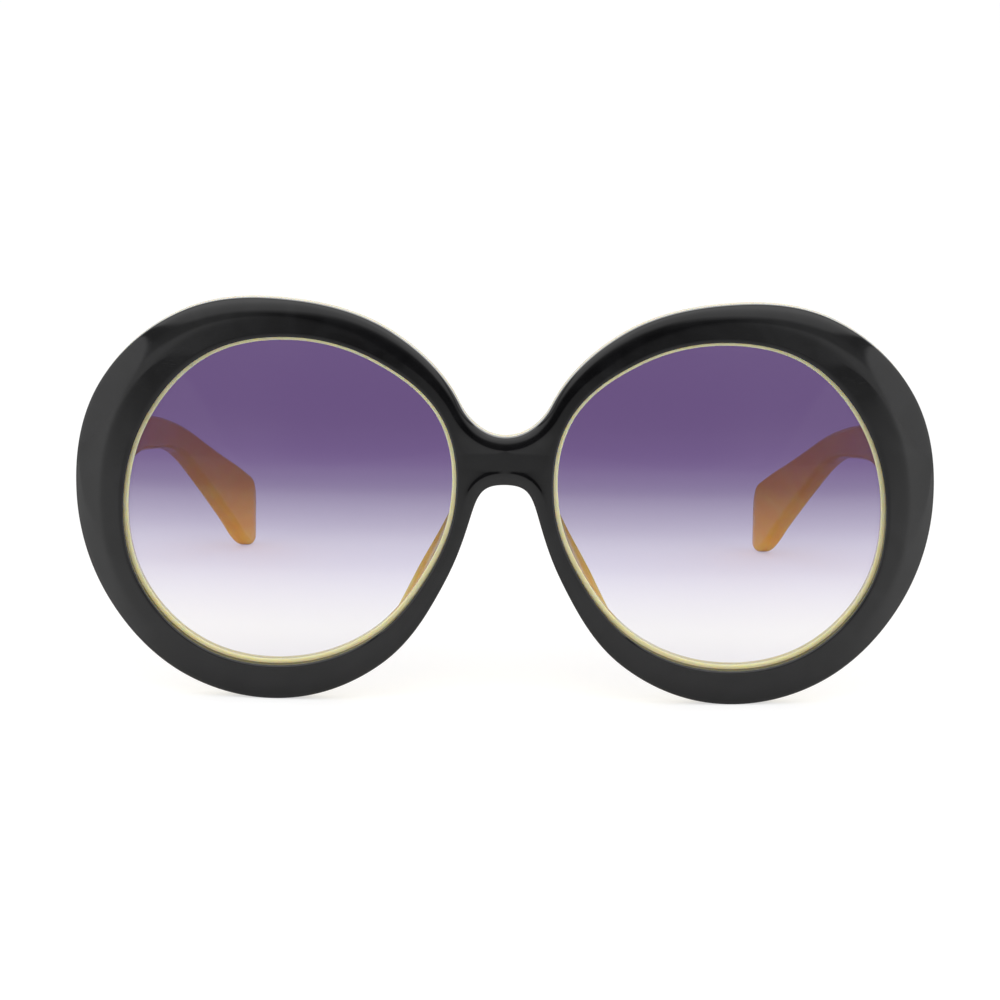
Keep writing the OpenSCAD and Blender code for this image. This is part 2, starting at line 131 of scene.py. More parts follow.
class FrontSizes(bpy.types.PropertyGroup):
    """Sizes of the laminated front"""

    lens_x: length("Lens Distance", "Middle of the nose to the middle of each lens", 36.8)
    rim_size: length("Rim Radius", "Mean radius of the outer edge of a rim", 35.3)
    opening_size: length("Opening Radius", "Mean radius of the opening in the black layer", 28.6)
    lip_w: length("Lip Width", "Width of the amber lip round each lens", 0.75)
    black_d: length("Black Depth", "Depth of the black layer", 2.2)
    amber_d: length("Amber Depth", "Depth of the amber layer", 3.0)
    crown: length("Crown", "How far the black face falls away at its outer edge", 1.3)
    wrap_angle: degrees("Wrap", "Angle by which each rim is swept back", 5)
    bridge_flat: length("Bridge Flat", "Half the width of the flat of the bridge", 5.5)
    wrap_blend: length("Wrap Blend", "Distance over which the sweep-back starts", 2.5)
    bridge_top: length("Bridge Top", "Top of the bridge above the lens centres", 11.8)
    bridge_under: length("Bridge Underside", "Underside of the bridge above the lens centres", 3.7)
    crown_share: share("Crown Share", "Share of the rim's width that the crown takes up", 0.55)
    crown_limit: share("Crown Limit", "Most that the crown falls, as a share of the rim", 0.17)
    edge_round: length("Opening Rounding", "Rounding of the black edge round each opening", 0.35)
    back_round: length("Back Rounding", "Rounding of the outer edge at the back", 0.8)
    lip_round: length("Lip Rounding", "Rounding of the lip's edges", 0.18)
    lip_d: length("Front Lip", "Depth of the lip in front of the lens groove", 0.5)
    back_lip_d: length("Back Lip", "Depth of the lip behind the lens groove", 0.7)
    groove_d: length("Groove", "Depth of the V groove that holds the lens", 0.9)
    bond: length("Bond", "How far the black layer is pressed into the amber one", 0.02)
    rim_steps: steps("Rim Steps", "Points along each rim", 250)
    bridge_steps: steps("Bridge Steps", "Points along a bridge curve", 26)


class LensSizes(bpy.types.PropertyGroup):
    """Sizes and colours of the tinted lenses"""

    dome_radius: length("Dome Radius", "Radius of the front of each lens", 200)
    gap: length("Groove Gap", "Room between a lens and its groove", 0.05)
    rings: steps("Rings", "Rings of faces from the middle to the edge", 22)
    tint_top: colour("Top Tint", "What the dark top of a lens lets through", (0.143, 0.090, 0.217))
    tint_upper: colour("Upper Tint", "Just above the middle", (0.185, 0.129, 0.271))
    tint_middle: colour("Middle Tint", "At the middle", (0.288, 0.241, 0.381))
    tint_lower: colour("Lower Tint", "Just below the middle", (0.511, 0.474, 0.607))
    tint_pale: colour("Pale Tint", "Half way to the bottom", (0.697, 0.672, 0.784))
    tint_bottom: colour("Bottom Tint", "What the pale bottom lets through", (0.868, 0.858, 0.888))


class PadSizes(bpy.types.PropertyGroup):
    """Sizes of the nose pads"""

    depth: length("Depth", "How far the pads reach behind the rims", 8)
    flare: length("Flare", "How far the free edge leans towards the lens", 1.3)
    edge: length("Edge", "Thickness of a pad at its free edge", 1.7)
    start: degrees("Start", "Angle on the rim at which a pad starts", 180)
    end: degrees("End", "Angle on the rim at which a pad ends", 234)
    outer_gap: length("Outer Gap", "From the rim's outer edge to the pad's foot", 1.1)
    inner_gap: length("Inner Gap", "From the lip to the pad's foot", 0.3)
    waist_depth: share("Waist Depth", "Where the waist of a pad is, as a share of its depth", 0.55)
    waist_lean: share("Waist Lean", "Share of the lean that the waist has", 0.4)


class TempleSizes(bpy.types.PropertyGroup):
    """Sizes of the temples and of the end blocks that carry them"""

    temple_x: length("Temple Distance", "From the middle to each temple at its joint", 69.2)
    joint_t: length("Joint Thickness", "Thickness of a temple at its joint", 4)
    tip_t: length("Tip Thickness", "Thickness of a temple near its tip", 3.4)
    joint_y: length("Joint Depth", "Where the temples meet the end blocks", 17.5)
    tip_y: length("Tip Depth", "Where the temples end", 149.5)
    lean: degrees("Lean", "Angle at which the temples lean inwards", 1.3)
    curl: length("Curl", "How far the tips curl inwards beyond the lean", 13.6)
    curl_y: length("Curl Start", "Where a temple starts to curl", 40)
    tip_round: length("Tip Rounding", "Length over which the top of the tip is rounded", 4.5)
    under_round: length("Under Rounding", "Length over which the tip's underside is rounded", 12)
    tip_thin: share("Tip Thinning", "What is left of the thickness at the very tip", 0.35)
    tip_blunt: share("Tip Blunting", "What is left of the height at the very tip", 0.045)
    edge_round: length("Edge Rounding", "Rounding of the long edges", 1.2)
    joint_gap: length("Joint Gap", "Gap between a temple and its end block", 0.1)
    mitre: length("Mitre Edge", "Rounding of the edges at the joint", 0.18)
    block_w: length("Block Width", "Width of an end block where it leaves the rim", 4.6)
    block_out: length("Block Reach Out", "How far the block runs straight out of the rim", 4)
    block_in: length("Block Reach In", "How far the block runs straight into the temple", 3)
    block_round: length("Block Rounding", "Rounding of the outer edges of a block", 1)
    pocket_d: length("Pocket Depth", "Depth of the recess for a hinge leaf", 0.87)
    pocket_h: length("Pocket Height", "Height of the recess for a hinge leaf", 7.62)
    front_pocket: length("Front Pocket", "Length of the recess in an end block", 5.95)
    temple_pocket: length("Temple Pocket", "Length of the recess in a temple", 8.05)


class HingeSizes(bpy.types.PropertyGroup):
    """Sizes of the hinge leaves and screws"""

    leaf_edge: length("Leaf Edge", "Rounding of the edges of a leaf", 0.07)
    proud: length("Proud", "How far a leaf stands out of the plastic", 0.05)
    front_screw_y: length("Front Screws", "From the joint to the screws in the end block", 4.3)
    temple_screw_y: length("Temple Screws", "From the joint to the screws in the temple", 5.9)
    small_z: length("Screw Spacing", "Half the distance between two small screws", 2.2)
    small_head_r: length("Small Head Radius", "Radius of a small screw's head", 0.85)
    small_head_h: length("Small Head Height", "Height of a small screw's head", 0.4)
    small_shank_r: length("Small Shank Radius", "Radius of a small screw's shank", 0.5)
    small_length: length("Small Length", "Length of a small screw", 1.7)
    head_r: length("Hinge Head Radius", "Radius of the hinge screw's head", 0.95)
    head_h: length("Hinge Head Height", "Height of the hinge screw's head", 0.6)
    shank_r: length("Hinge Shank Radius", "Radius of the hinge screw's shank", 0.55)
    slot_w: length("Slot Width", "Width of a screw's slot", 0.4)
    screw_edge: length("Screw Edge", "Rounding of the edges of a screw", 0.06)


class Finishes(bpy.types.PropertyGroup):
    """Colours of the materials"""

    black: colour("Black", "Black acetate", (0.0036, 0.0036, 0.0039))
    backing: colour("Backing", "Amber acetate where it is thin", (0.79, 0.69, 0.42))
    backing_deep: colour("Backing Deep", "Deeper clouds in the backing", (0.75, 0.63, 0.33))
    pad: colour("Pad", "Amber acetate of the pads and end blocks", (1.0, 0.76, 0.23))
    pad_deep: colour("Pad Deep", "Deeper clouds in the pads", (0.95, 0.60, 0.13))
    temple: colour("Temple", "Honey acetate of the temples", (0.98, 0.54, 0.072))
    temple_deep: colour("Temple Deep", "Deeper clouds in the temples", (0.88, 0.40, 0.04))
    brass: colour("Brass", "Gold-toned metal of the hinge leaves", (0.80, 0.60, 0.30))
    steel: colour("Steel", "Metal of the screws", (0.62, 0.61, 0.59))


class Studio(bpy.types.PropertyGroup):
    """The camera and the light"""

    distance: length("Camera Distance", "Camera to the front of the rims", 700)
    pitch: degrees("Camera Pitch", "How far the camera looks down", 10.15)
    roll: degrees("Camera Roll", "Turn of the camera about its line of sight", 0.77)
    aim_x: length("Aim Across", "Where the camera aims, from the middle", -0.8)
    aim_z: length("Aim Height", "Height at which the camera aims", 36.14)
    zoom: focal_length("Focal Length", "Focal length", 147.34)
    floor: colour("Floor", "Colour of the floor", (0.85, 0.85, 0.845))
    level: share("Light Level", "Strength of the even light from all round", 0.88)
    floor_fill: share("Floor Fill", "White that the floor shows the camera beside its light", 0.61)
    shadow_fill: share("Shadow Fill", "How much lighter the camera sees the shadows", 0.45)
    side_gloss: share("Side Gloss", "White that the floor at the sides adds in reflections", 0.5)
    front_dim: share("Front Dimming", "How much the floor far in front dims in reflections", 0.9)
    side_light: power("Side Lights", "Power of a side light", 0.5)
    top_light: power("Top Light", "Power of the top light", 1.1)


class Sunglasses(bpy.types.PropertyGroup):
    """All sizes and colours of the sunglasses"""

    front: PointerProperty(type=FrontSizes)
    lens: PointerProperty(type=LensSizes)
    pad: PointerProperty(type=PadSizes)
    temple: PointerProperty(type=TempleSizes)
    hinge: PointerProperty(type=HingeSizes)
    finish: PointerProperty(type=Finishes)
    studio: PointerProperty(type=Studio)


# Curves of the design


def lerp(a, b, t):
    return a + (b - a) * t


def unit(v):
    return v / np.linalg.norm(v, axis=-1, keepdims=True)


def bezier(a, b, c, d, t):
    t = np.asarray(t)[..., None]
    a, b, c, d = (np.asarray(p) for p in (a, b, c, d))
    return (1 - t) ** 3 * a + 3 * (1 - t) ** 2 * t * b + 3 * (1 - t) * t * t * c + t**3 * d


def around(values, angles):
    """Smooth closed curve through values spread evenly over a turn, at angles in degrees."""
    values = np.asarray(values) * MM
    u = np.asarray(angles) / 360 * len(values)
    i = np.floor(u).astype(int)
    f = u - i
    p = [values[(i + k) % len(values)] for k in (-1, 0, 1, 2)]
    cubic = 3 * (p[1] - p[2]) + p[3] - p[0]
    square = 2 * p[0] - 5 * p[1] + 4 * p[2] - p[3]
    return p[1] + 0.5 * f * (p[2] - p[0] + f * (square + f * cubic))


def quarter(count):
    """Steps round a quarter turn: what is gone of the one way, and what is left of the other."""
    turn = np.linspace(0, math.pi / 2, count)
    return zip(1 - np.cos(turn), 1 - np.sin(turn))


def rounded(corners):
    """Points round a section, from the middle and the radius of each of its four corners."""
    turn = np.linspace(0, math.pi / 2, ARC_POINTS)
    return [
        (across + r * math.cos(a), up + r * math.sin(a))
        for k, (across, up, r) in enumerate(corners)
        for a in turn + k * math.pi / 2
    ]


class FrontShape:
    """One half of the front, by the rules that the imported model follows."""

    def __init__(self, sizes):
        self.sizes = sizes
        lower_half = np.arange(180, 361, 3)
        drop = -self.rim_radius(lower_half) * np.sin(np.radians(lower_half))
        self.lens_z = float(np.max(drop))
        self.back_y = sizes.black_d + sizes.amber_d
        flat_of_groove = sizes.amber_d - sizes.lip_d - sizes.back_lip_d
        self.groove_y = sizes.black_d + sizes.lip_d + flat_of_groove / 2
        self.outline = self.make_outline()
        self.edge_n = len(self.outline)
        self.outward = self.make_outward()
        nose_n = sizes.bridge_steps // 3
        self.nose_t = (np.arange(1, nose_n + 1) / (nose_n + 1))[:, None]
        self.angles = self.make_angles()
        self.edge_w = self.make_edge_w()

    def polar(self, angles, radius):
        q = np.radians(angles)
        x = self.sizes.lens_x + radius * np.cos(q)
        return np.stack([x, self.lens_z + radius * np.sin(q)], -1)

    def rim_radius(self, angles):
        return self.sizes.rim_size + around(RIM_BULGE, angles)

    def rim(self, angles):
        return self.polar(angles, self.rim_radius(angles))

    def opening(self, angles, grown):
        return self.polar(angles, self.sizes.opening_size + around(OPENING_BULGE, angles) + grown)

    def make_outline(self):
        """From the top of the bridge over the rim to the underside of the bridge."""
        s = self.sizes

        def heading(q):
            return unit(self.rim(q - 1) - self.rim(q + 1))

        t = np.arange(s.bridge_steps) / s.bridge_steps
        top_mid = np.array([0, self.lens_z + s.bridge_top])
        under_mid = np.array([0, self.lens_z + s.bridge_under])
        start, end = self.rim(BRIDGE_FROM), self.rim(BRIDGE_TO)
        top = bezier(
            top_mid, top_mid + [TOP_REACH[0] * MM, 0],
            start - heading(BRIDGE_FROM) * TOP_REACH[1] * MM, start, t,
        )
        under = bezier(
            end, end + heading(BRIDGE_TO) * UNDER_REACH[1] * MM,
            under_mid + [UNDER_REACH[0] * MM, 0], under_mid, t + 1 / s.bridge_steps,
        )
        rim = self.rim(np.linspace(BRIDGE_FROM, BRIDGE_TO, s.rim_steps + 1))
        return np.vstack([top, rim, under])

    def make_outward(self):
        run = unit(self.outline[2:] - self.outline[:-2])
        sideways = np.stack([-run[:, 1], run[:, 0]], -1)
        return np.vstack([[0, 1], sideways, [0, -1]])

    def make_angles(self):
        """Angle on the opening that each point of the outline and the nose line is joined to."""
        s = self.sizes
        q = np.degrees(np.arctan2(self.outline[:, 1] - self.lens_z, self.outline[:, 0] - s.lens_x))
        under = np.arange(1, s.bridge_steps + 1) / s.bridge_steps
        q[-s.bridge_steps :] = lerp(BRIDGE_TO, UNDER_MEETS, under)
        nose = lerp(UNDER_MEETS, q[0] - 360, self.nose_t[:, 0])
        late = np.arange(len(q)) > len(q) / 2
        return np.concatenate([np.where(late & (q > 0), q - 360, q), nose])

    def make_edge_w(self):
        """Width of the rim along the outline, eased to half the bridge's height at the nose."""
        s = self.sizes
        own = np.linalg.norm(self.outline - self.opening(self.angles[: self.edge_n], 0), axis=1)
        i = np.arange(self.edge_n)
        t = np.minimum(i, self.edge_n - 1 - i) / s.bridge_steps
        joined = [
            np.linalg.norm(self.rim(q) - self.opening(q, 0)) for q in (BRIDGE_FROM, BRIDGE_TO)
        ]
        near = np.where(i < self.edge_n / 2, joined[0], joined[1])
        return np.where(t < 1, lerp((s.bridge_top - s.bridge_under) / 2, near, t), own)

    def wrap(self, x):
        """Sweep-back of a point at distance x from the middle."""
        s = self.sizes
        a = np.maximum(0, np.abs(x) - s.bridge_flat)
        early = a * a / (2 * s.wrap_blend)
        return math.tan(s.wrap_angle) * np.where(a < s.wrap_blend, early, a - s.wrap_blend / 2)

    def at_depth(self, points, y):
        return np.stack([points[..., 0], y + self.wrap(points[..., 0]), points[..., 1]], -1)

    def opening_ring(self, grown, y):
        return self.at_depth(self.opening(self.angles, grown), y), False

    def edge_ring(self, inset, y):
        """A ring that follows the outline, and goes down the nose line where the halves meet."""
        inset = np.broadcast_to(inset, self.edge_n)
        y = np.broadcast_to(y, self.edge_n)[:, None]
        edge = np.hstack([self.outline - self.outward * inset[:, None], y])
        ring = np.vstack([edge, lerp(edge[-1], edge[0], self.nose_t)])
        return self.at_depth(ring[:, :2], ring[:, 2]), True

    @staticmethod
    def between(first, last, count):
        """Rings that lead evenly from one ring to another."""
        return [(lerp(first[0], last[0], k / (count + 1)), False) for k in range(1, count + 1)]


def placed(points, temple):
    """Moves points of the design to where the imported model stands."""
    return np.asarray(points) - [0, temple.tip_y / 2, 0]


def inner_side(temple):
    """Distance from the middle to the inner side of a temple at its joint."""
    return temple.temple_x - temple.joint_t / 2


# Making meshes


def both_halves(shape, rings):
    """Points and faces of the whole front, from closed rings round one half of it."""
    count, size, edge_n = len(rings), len(rings[0][0]), shape.edge_n
    points = np.concatenate([ring for ring, _ in rings])
    number = np.arange(count * size).reshape(count, size)
    other = number + count * size
    for j, (_, meets) in enumerate(rings):
        if meets:
            other[j, 0] = number[j, 0]
            other[j, edge_n - 1 :] = number[j, edge_n - 1 :]
    faces = []
    for ids in (number, other):
        for j in range(count):
            k = (j + 1) % count
            last = edge_n - 1 if rings[j][1] and rings[k][1] else size
            for i in range(last):
                n = (i + 1) % size
                faces.append((ids[j, i], ids[j, n], ids[k, n], ids[k, i]))
    return np.vstack([points, points * [-1, 1, 1]]), faces


def add_solid(name, points, faces, temple, material):
    """A closed solid without loose points, moved from the design to its place."""
    used, index = np.unique(np.concatenate(faces), return_inverse=True)
    ends = np.cumsum([len(face) for face in faces])[:-1]
    mesh = bpy.data.meshes.new(name)
    corners = [tuple(point) for point in placed(points, temple)[used]]
    mesh.from_pydata(corners, [], [tuple(face) for face in np.split(index, ends)])
    tidy_mesh(mesh)
    return add_object(mesh, material)


@contextmanager
def edited(mesh, source=None):
    """The work on a mesh, which starts from another one where that is given."""
    work = bmesh.new()
    work.from_mesh(source or mesh)
    yield work
    work.to_mesh(mesh)
    work.free()


def tidy_mesh(mesh, sharp=CRISP):
    """Welds a mesh, turns its faces outwards and shades it smooth up to the sharp angle."""
    with edited(mesh) as work:
        bmesh.ops.remove_doubles(work, verts=work.verts, dist=WELD)
        bmesh.ops.recalc_face_normals(work, faces=work.faces)
        for face in work.faces:
            face.smooth = True
    mesh.set_sharp_from_angle(angle=math.radians(sharp))


def add_object(mesh, material=None):
    piece = bpy.data.objects.new(mesh.name, mesh)
    bpy.context.scene.collection.objects.link(piece)
    if material:
        mesh.materials.append(material)
    return piece


def apply_modifiers(piece, sharp=CRISP):
    """Turns what the modifiers make into the piece's own mesh."""
    bpy.context.view_layer.update()
    graph = bpy.context.evaluated_depsgraph_get()
    mesh = bpy.data.meshes.new_from_object(piece.evaluated_get(graph))
    mesh.name = piece.name
    piece.modifiers.clear()
    piece.data = mesh
    tidy_mesh(mesh, sharp)


def bevel_edges(piece, width, angle=CRISP):
    """Rounds the edges that are sharper than an angle in degrees."""
    bevel = piece.modifiers.new("Edges", "BEVEL")
    bevel.width = width
    bevel.segments = 2
    bevel.limit_method = "ANGLE"
    bevel.angle_limit = math.radians(angle)
    apply_modifiers(piece)


def carve_pocket(piece, temple, sign, start, end):
    """Cuts the recess for a hinge leaf, between two distances behind the joint."""
    inner_x, half = inner_side(temple), temple.pocket_h / 2
    ends = placed([
        (sign * (inner_x - PAST_SIDE), temple.joint_y + start, HINGE_Z - half),
        (sign * (inner_x + temple.pocket_d), temple.joint_y + end, HINGE_Z + half),
    ], temple)
    low, high = Vector(np.min(ends, 0)), Vector(np.max(ends, 0))
    span = Matrix.Translation((low + high) / 2) @ Matrix.Diagonal((*(high - low), 1))
    cutter = add_object(bpy.data.meshes.new("cutter"))
    with edited(cutter.data) as work:
        bmesh.ops.create_cube(work, size=1, matrix=span)
    cut = piece.modifiers.new("Pocket", "BOOLEAN")
    cut.operation = "DIFFERENCE"
    cut.solver = "EXACT"
    cut.object = cutter
    apply_modifiers(piece)
    bpy.data.objects.remove(cutter)


def loft(name, sections, sign, temple, material):
    """A closed solid on one side, through sections that all have the same number of points."""
    rows, n = len(sections), len(sections[0])
    ids = np.arange(rows * n).reshape(rows, n)
    faces = [
        (ids[j, i], ids[j, (i + 1) % n], ids[j + 1, (i + 1) % n], ids[j + 1, i])
        for j in range(rows - 1)
        for i in range(n)
    ]
    faces += [tuple(ids[0][::-1]), tuple(ids[-1])]
    return add_solid(name, np.concatenate(sections) * [sign, 1, 1], faces, temple, material)


def join_frame(piece, body, slot, *nodes):
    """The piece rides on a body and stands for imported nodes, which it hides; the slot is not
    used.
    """
    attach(piece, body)
    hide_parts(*nodes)


# Node trees


class Wire:
    """An output of a node. Sums and products of wires become Math or Vector Math nodes."""

    def __init__(self, socket):
        self.socket, self.tree = socket, socket.id_data
        self.kind = "ShaderNodeVectorMath" if socket.type == "VECTOR" else "ShaderNodeMath"

    def combine(self, operation, *values, **settings):
        """What an operation makes of values, of which this may be any one."""
        inputs = dict(enumerate(values))
        return add_node(self.tree, self.kind, inputs, operation=operation, **settings)[0]

    def math(self, operation, *others, **settings):
        """What an operation makes of this value and the others."""
        return self.combine(operation, self, *others, **settings)

    def __add__(self, other):
        return self.math("ADD", other)

    def __sub__(self, other):
        return self.math("SUBTRACT", other)

    def __rsub__(self, other):
        return self.combine("SUBTRACT", other, self)

    def __mul__(self, other):
        return self.math("MULTIPLY", other)

    def __truediv__(self, other):
        return self.math("DIVIDE", other)

    def __rtruediv__(self, other):
        return self.combine("DIVIDE", other, self)

    def scaled(self, factor):
        inputs = {0: self, "Scale": factor}
        return add_node(self.tree, self.kind, inputs, operation="SCALE")[0]

    def axes(self):
        return add_node(self.tree, "ShaderNodeSeparateXYZ", {"Vector": self})

    def fade(self, start, end, kind="SMOOTHSTEP"):
        """0 at start and 1 at end."""
        inputs = {"Value": self, "From Min": start, "From Max": end}
        made = add_node(self.tree, "ShaderNodeMapRange", inputs, interpolation_type=kind)
        return made["Result"]

    def ramp(self, stops, kind="LINEAR"):
        """A colour for each value, from stops of a value and its colour."""
        made = add_node(self.tree, "ShaderNodeValToRGB", {"Fac": self})
        band = made.node.color_ramp
        band.interpolation = kind
        while len(band.elements) < len(stops):
            band.elements.new(0.5)
        for element, (position, tint) in zip(band.elements, stops):
            element.position = position
            element.color = (*tint, 1)
        return made["Color"]


class Outputs:
    """The outputs of a node, by name or number."""

    def __init__(self, node):
        self.node = node

    def __getitem__(self, key):
        return Wire(self.node.outputs[key])


def feed(node, values):
    """Wires values to the inputs of a node, or sets them."""
    for key, value in values.items():
        if isinstance(value, Wire):
            value.tree.links.new(value.socket, node.inputs[key])
        else:
            node.inputs[key].default_value = value


def add_node(tree, kind, inputs=None, **settings):
    """The outputs of a new node, with its settings and its inputs."""
    node = tree.nodes.new(kind)
    for key, value in settings.items():
        setattr(node, key, value)
    feed(node, inputs or {})
    return Outputs(node)


def place_of(tree, scale=(1, 1, 1)):
    """Where a point of the surface is on the piece, in mm times a scale for each axis."""
    place = add_node(tree, "ShaderNodeTexCoord")["Object"]
    return place * tuple(factor / MM for factor in scale)


def noise(where, scale, **inputs):
    """Soft noise over a surface, from 0 to 1."""
    return add_node(
        where.tree, "ShaderNodeTexNoise", {"Vector": where, "Scale": scale, **inputs}
    )["Fac"]


def new_tree(name, kind, inputs, outputs):
    """An empty node group, with its inputs and its output node.

    Each input is named with its first value, or with the kind of its socket.
    """
    tree = bpy.data.node_groups.new(name, kind)
    kinds = {float: "Float", int: "Int", tuple: "Color"}
    for label, first in inputs.items():
        socket = kinds.get(type(first), first)
        made = tree.interface.new_socket(
            label, in_out="INPUT", socket_type=f"NodeSocket{socket}"
        )
        if socket != first:
            made.default_value = first
    for label, socket in outputs.items():
        tree.interface.new_socket(label, in_out="OUTPUT", socket_type=f"NodeSocket{socket}")
    return tree, Outputs(tree.nodes.new("NodeGroupInput")), tree.nodes.new("NodeGroupOutput")


def use_tree(piece, tree, values):
    """A Geometry Nodes modifier whose inputs are set by name."""
    modifier = piece.modifiers.new(tree.name, "NODES")
    modifier.node_group = tree
    for item in tree.interface.items_tree:
        if item.item_type == "SOCKET" and item.in_out == "INPUT" and item.name in values:
            modifier[item.identifier] = values[item.name]


def once(make):
    """The material or group that a function makes, made the first time that it is asked for."""

    def get(*given):
        name = make.__name__
        return bpy.data.materials.get(name) or bpy.data.node_groups.get(name) or make(*given)

    return get


# Shader groups that several materials share

# Where in the noise the haze, the hairlines and the clouds start, and where they are full
HAZE, HAIRLINES, CLOUDS = (0.42, 0.68), (0.66, 0.76), (0.35, 0.7)
# How fine the clouds and the tool marks are across, along and up
CLOUD_SCALE, TOOL_SCALE = (1, 0.3, 1), (9, 9, 0.6)


@once
def handling_wear():
    """Handling marks of a polished surface: soft hazy patches and fine straight hairlines."""
    tree, given, result = new_tree(
        "handling_wear", "ShaderNodeTree",
        {"Patch Size": 6.0, "Polished": 0.08, "Worn": 0.16, "Hairlines": 0.3},
        {"Roughness": "Float", "Height": "Float"},
    )
    in_mm = place_of(tree)
    haze = noise(in_mm, 1.0 / given["Patch Size"], Detail=4.0, Roughness=0.6)
    drawn_out = add_node(
        tree, "ShaderNodeMapping",
        {"Vector": in_mm, "Rotation": (0.4, 0.5, 0.6), "Scale": (0.25, 6.0, 6.0)},
    )["Vector"]
    lines = noise(drawn_out, 0.9, Detail=2.0).fade(*HAIRLINES, "LINEAR")
    marks = lines * given["Hairlines"]
    worn = haze.fade(*HAZE).math("ADD", marks, use_clamp=True)
    reach = given["Worn"] - given["Polished"]
    feed(result, {
        "Roughness": worn.math("MULTIPLY_ADD", reach, given["Polished"]), "Height": haze - marks,
    })
    return tree


@once
def acetate_clouds():
    """Clouds in cast acetate: two colours drawn out into long soft swirls."""
    tree, given, result = new_tree(
        "acetate_clouds", "ShaderNodeTree",
        {"Pale": (1, 1, 1, 1), "Deep": (0, 0, 0, 1), "Cloud Size": 10.0, "Amount": 0.5},
        {"Color": "Color"},
    )
    clouds = noise(
        place_of(tree, CLOUD_SCALE), 1.0 / given["Cloud Size"],
        Detail=3.0, Roughness=0.45, Distortion=1.2,
    )
    amount = clouds.fade(*CLOUDS) * given["Amount"]
    mixed = add_node(
        tree, "ShaderNodeMix", {"Factor": amount, "A": given["Pale"], "B": given["Deep"]},
        data_type="RGBA",
    )
    feed(result, {"Color": mixed["Result"]})
    return tree


@once
def tool_marks():
    """Fine lines that a tool leaves in metal, along Z."""
    tree, given, result = new_tree(
        "tool_marks", "ShaderNodeTree", {"Bright": 0.2, "Dull": 0.4},
        {"Roughness": "Float", "Height": "Float"},
    )
    lines = noise(place_of(tree, TOOL_SCALE), 1.0, Detail=3.0)
    reach = given["Dull"] - given["Bright"]
    feed(result, {
        "Roughness": lines.math("MULTIPLY_ADD", reach, given["Bright"]), "Height": lines,
    })
    return tree


# Materials

ACETATE_IOR, GLASS_IOR, BUMP_STRENGTH = 1.46, 1.34, 0.5
# Depth of the handling marks in acetate, and how far red, green and blue light scatters in it
ACETATE_MARKS, SCATTER_SHARES = 0.004 * MM, (1.0, 0.75, 0.35)
# Size of the worn patches in mm, roughness where polished and where worn, and the hairlines
BLACK_WEAR, CLEAR_WEAR = (7.0, 0.035, 0.09, 0.25), (6.0, 0.08, 0.18, 0.3)
# How much paler the clouds in the black are
BLACK_CLOUDS = 2.2


def new_material(name, values):
    """A material and its shader with the values that are the same all over."""
    material = bpy.data.materials.new(name)
    material.use_nodes = True
    shader = material.node_tree.nodes["Principled BSDF"]
    feed(shader, values)
    return material, shader


def roughen(shader, group, depth, values):
    """Gives a material the polish of a group, and its marks with a real depth in metres."""
    tree = shader.id_data
    marks = add_node(tree, "ShaderNodeGroup", values, node_tree=group)
    bump = add_node(
        tree, "ShaderNodeBump",
        {"Height": marks["Height"], "Distance": depth, "Strength": BUMP_STRENGTH},
    )
    feed(shader, {"Roughness": marks["Roughness"], "Normal": bump["Normal"]})


def acetate(name, pale, deep, cloud_size, amount, wear, inside):
    """Polished acetate with clouds of two colours, its handling wear and the light inside it."""
    material, shader = new_material(name, {"IOR": ACETATE_IOR, **inside})
    clouds = add_node(
        material.node_tree, "ShaderNodeGroup",
        {"Pale": (*pale, 1), "Deep": (*deep, 1), "Cloud Size": cloud_size, "Amount": amount},
        node_tree=acetate_clouds(),
    )
    feed(shader, {"Base Color": clouds["Color"]})
    patch, polished, worn, hairlines = wear
    roughen(shader, handling_wear(), ACETATE_MARKS, {
        "Patch Size": patch, "Polished": polished, "Worn": worn, "Hairlines": hairlines,
    })
    return material


def clear_acetate(name, pale, deep, gloss, cloud_size, amount, scatter=2.5 * MM):
    """Translucent acetate: light scatters through it and comes out coloured."""
    return acetate(name, pale, deep, cloud_size, amount, CLEAR_WEAR, {
        "Specular IOR Level": gloss, "Subsurface Weight": 1.0, "Subsurface Scale": scatter,
        "Subsurface Radius": SCATTER_SHARES,
    })


def metal(name, tint, bright, dull, depth):
    """Metal with the fine lines of a tool in it."""
    material, shader = new_material(name, {"Base Color": (*tint, 1), "Metallic": 1.0})
    roughen(shader, tool_marks(), depth, {"Bright": bright, "Dull": dull})
    return material


@once
def polished_black(finish):
    clouded = [BLACK_CLOUDS * part for part in finish.black]
    return acetate(
        "polished_black", finish.black, clouded, cloud_size=7.0, amount=0.6, wear=BLACK_WEAR,
        inside={},
    )


@once
def pale_amber(finish):
    return clear_acetate(
        "pale_amber", finish.backing, finish.backing_deep, gloss=0.35, cloud_size=6.0, amount=0.4
    )


@once
def gold_amber(finish):
    return clear_acetate(
        "gold_amber", finish.pad, finish.pad_deep, gloss=0.3, cloud_size=5.0, amount=0.6
    )


@once
def honey_amber(finish):
    return clear_acetate(
        "honey_amber", finish.temple, finish.temple_deep, gloss=0.25, cloud_size=9.0, amount=0.6,
        scatter=3 * MM,
    )


@once
def satin_brass(finish):
    return metal("satin_brass", finish.brass, bright=0.16, dull=0.34, depth=0.006 * MM)


@once
def turned_steel(finish):
    return metal("turned_steel", finish.steel, bright=0.2, dull=0.42, depth=0.005 * MM)


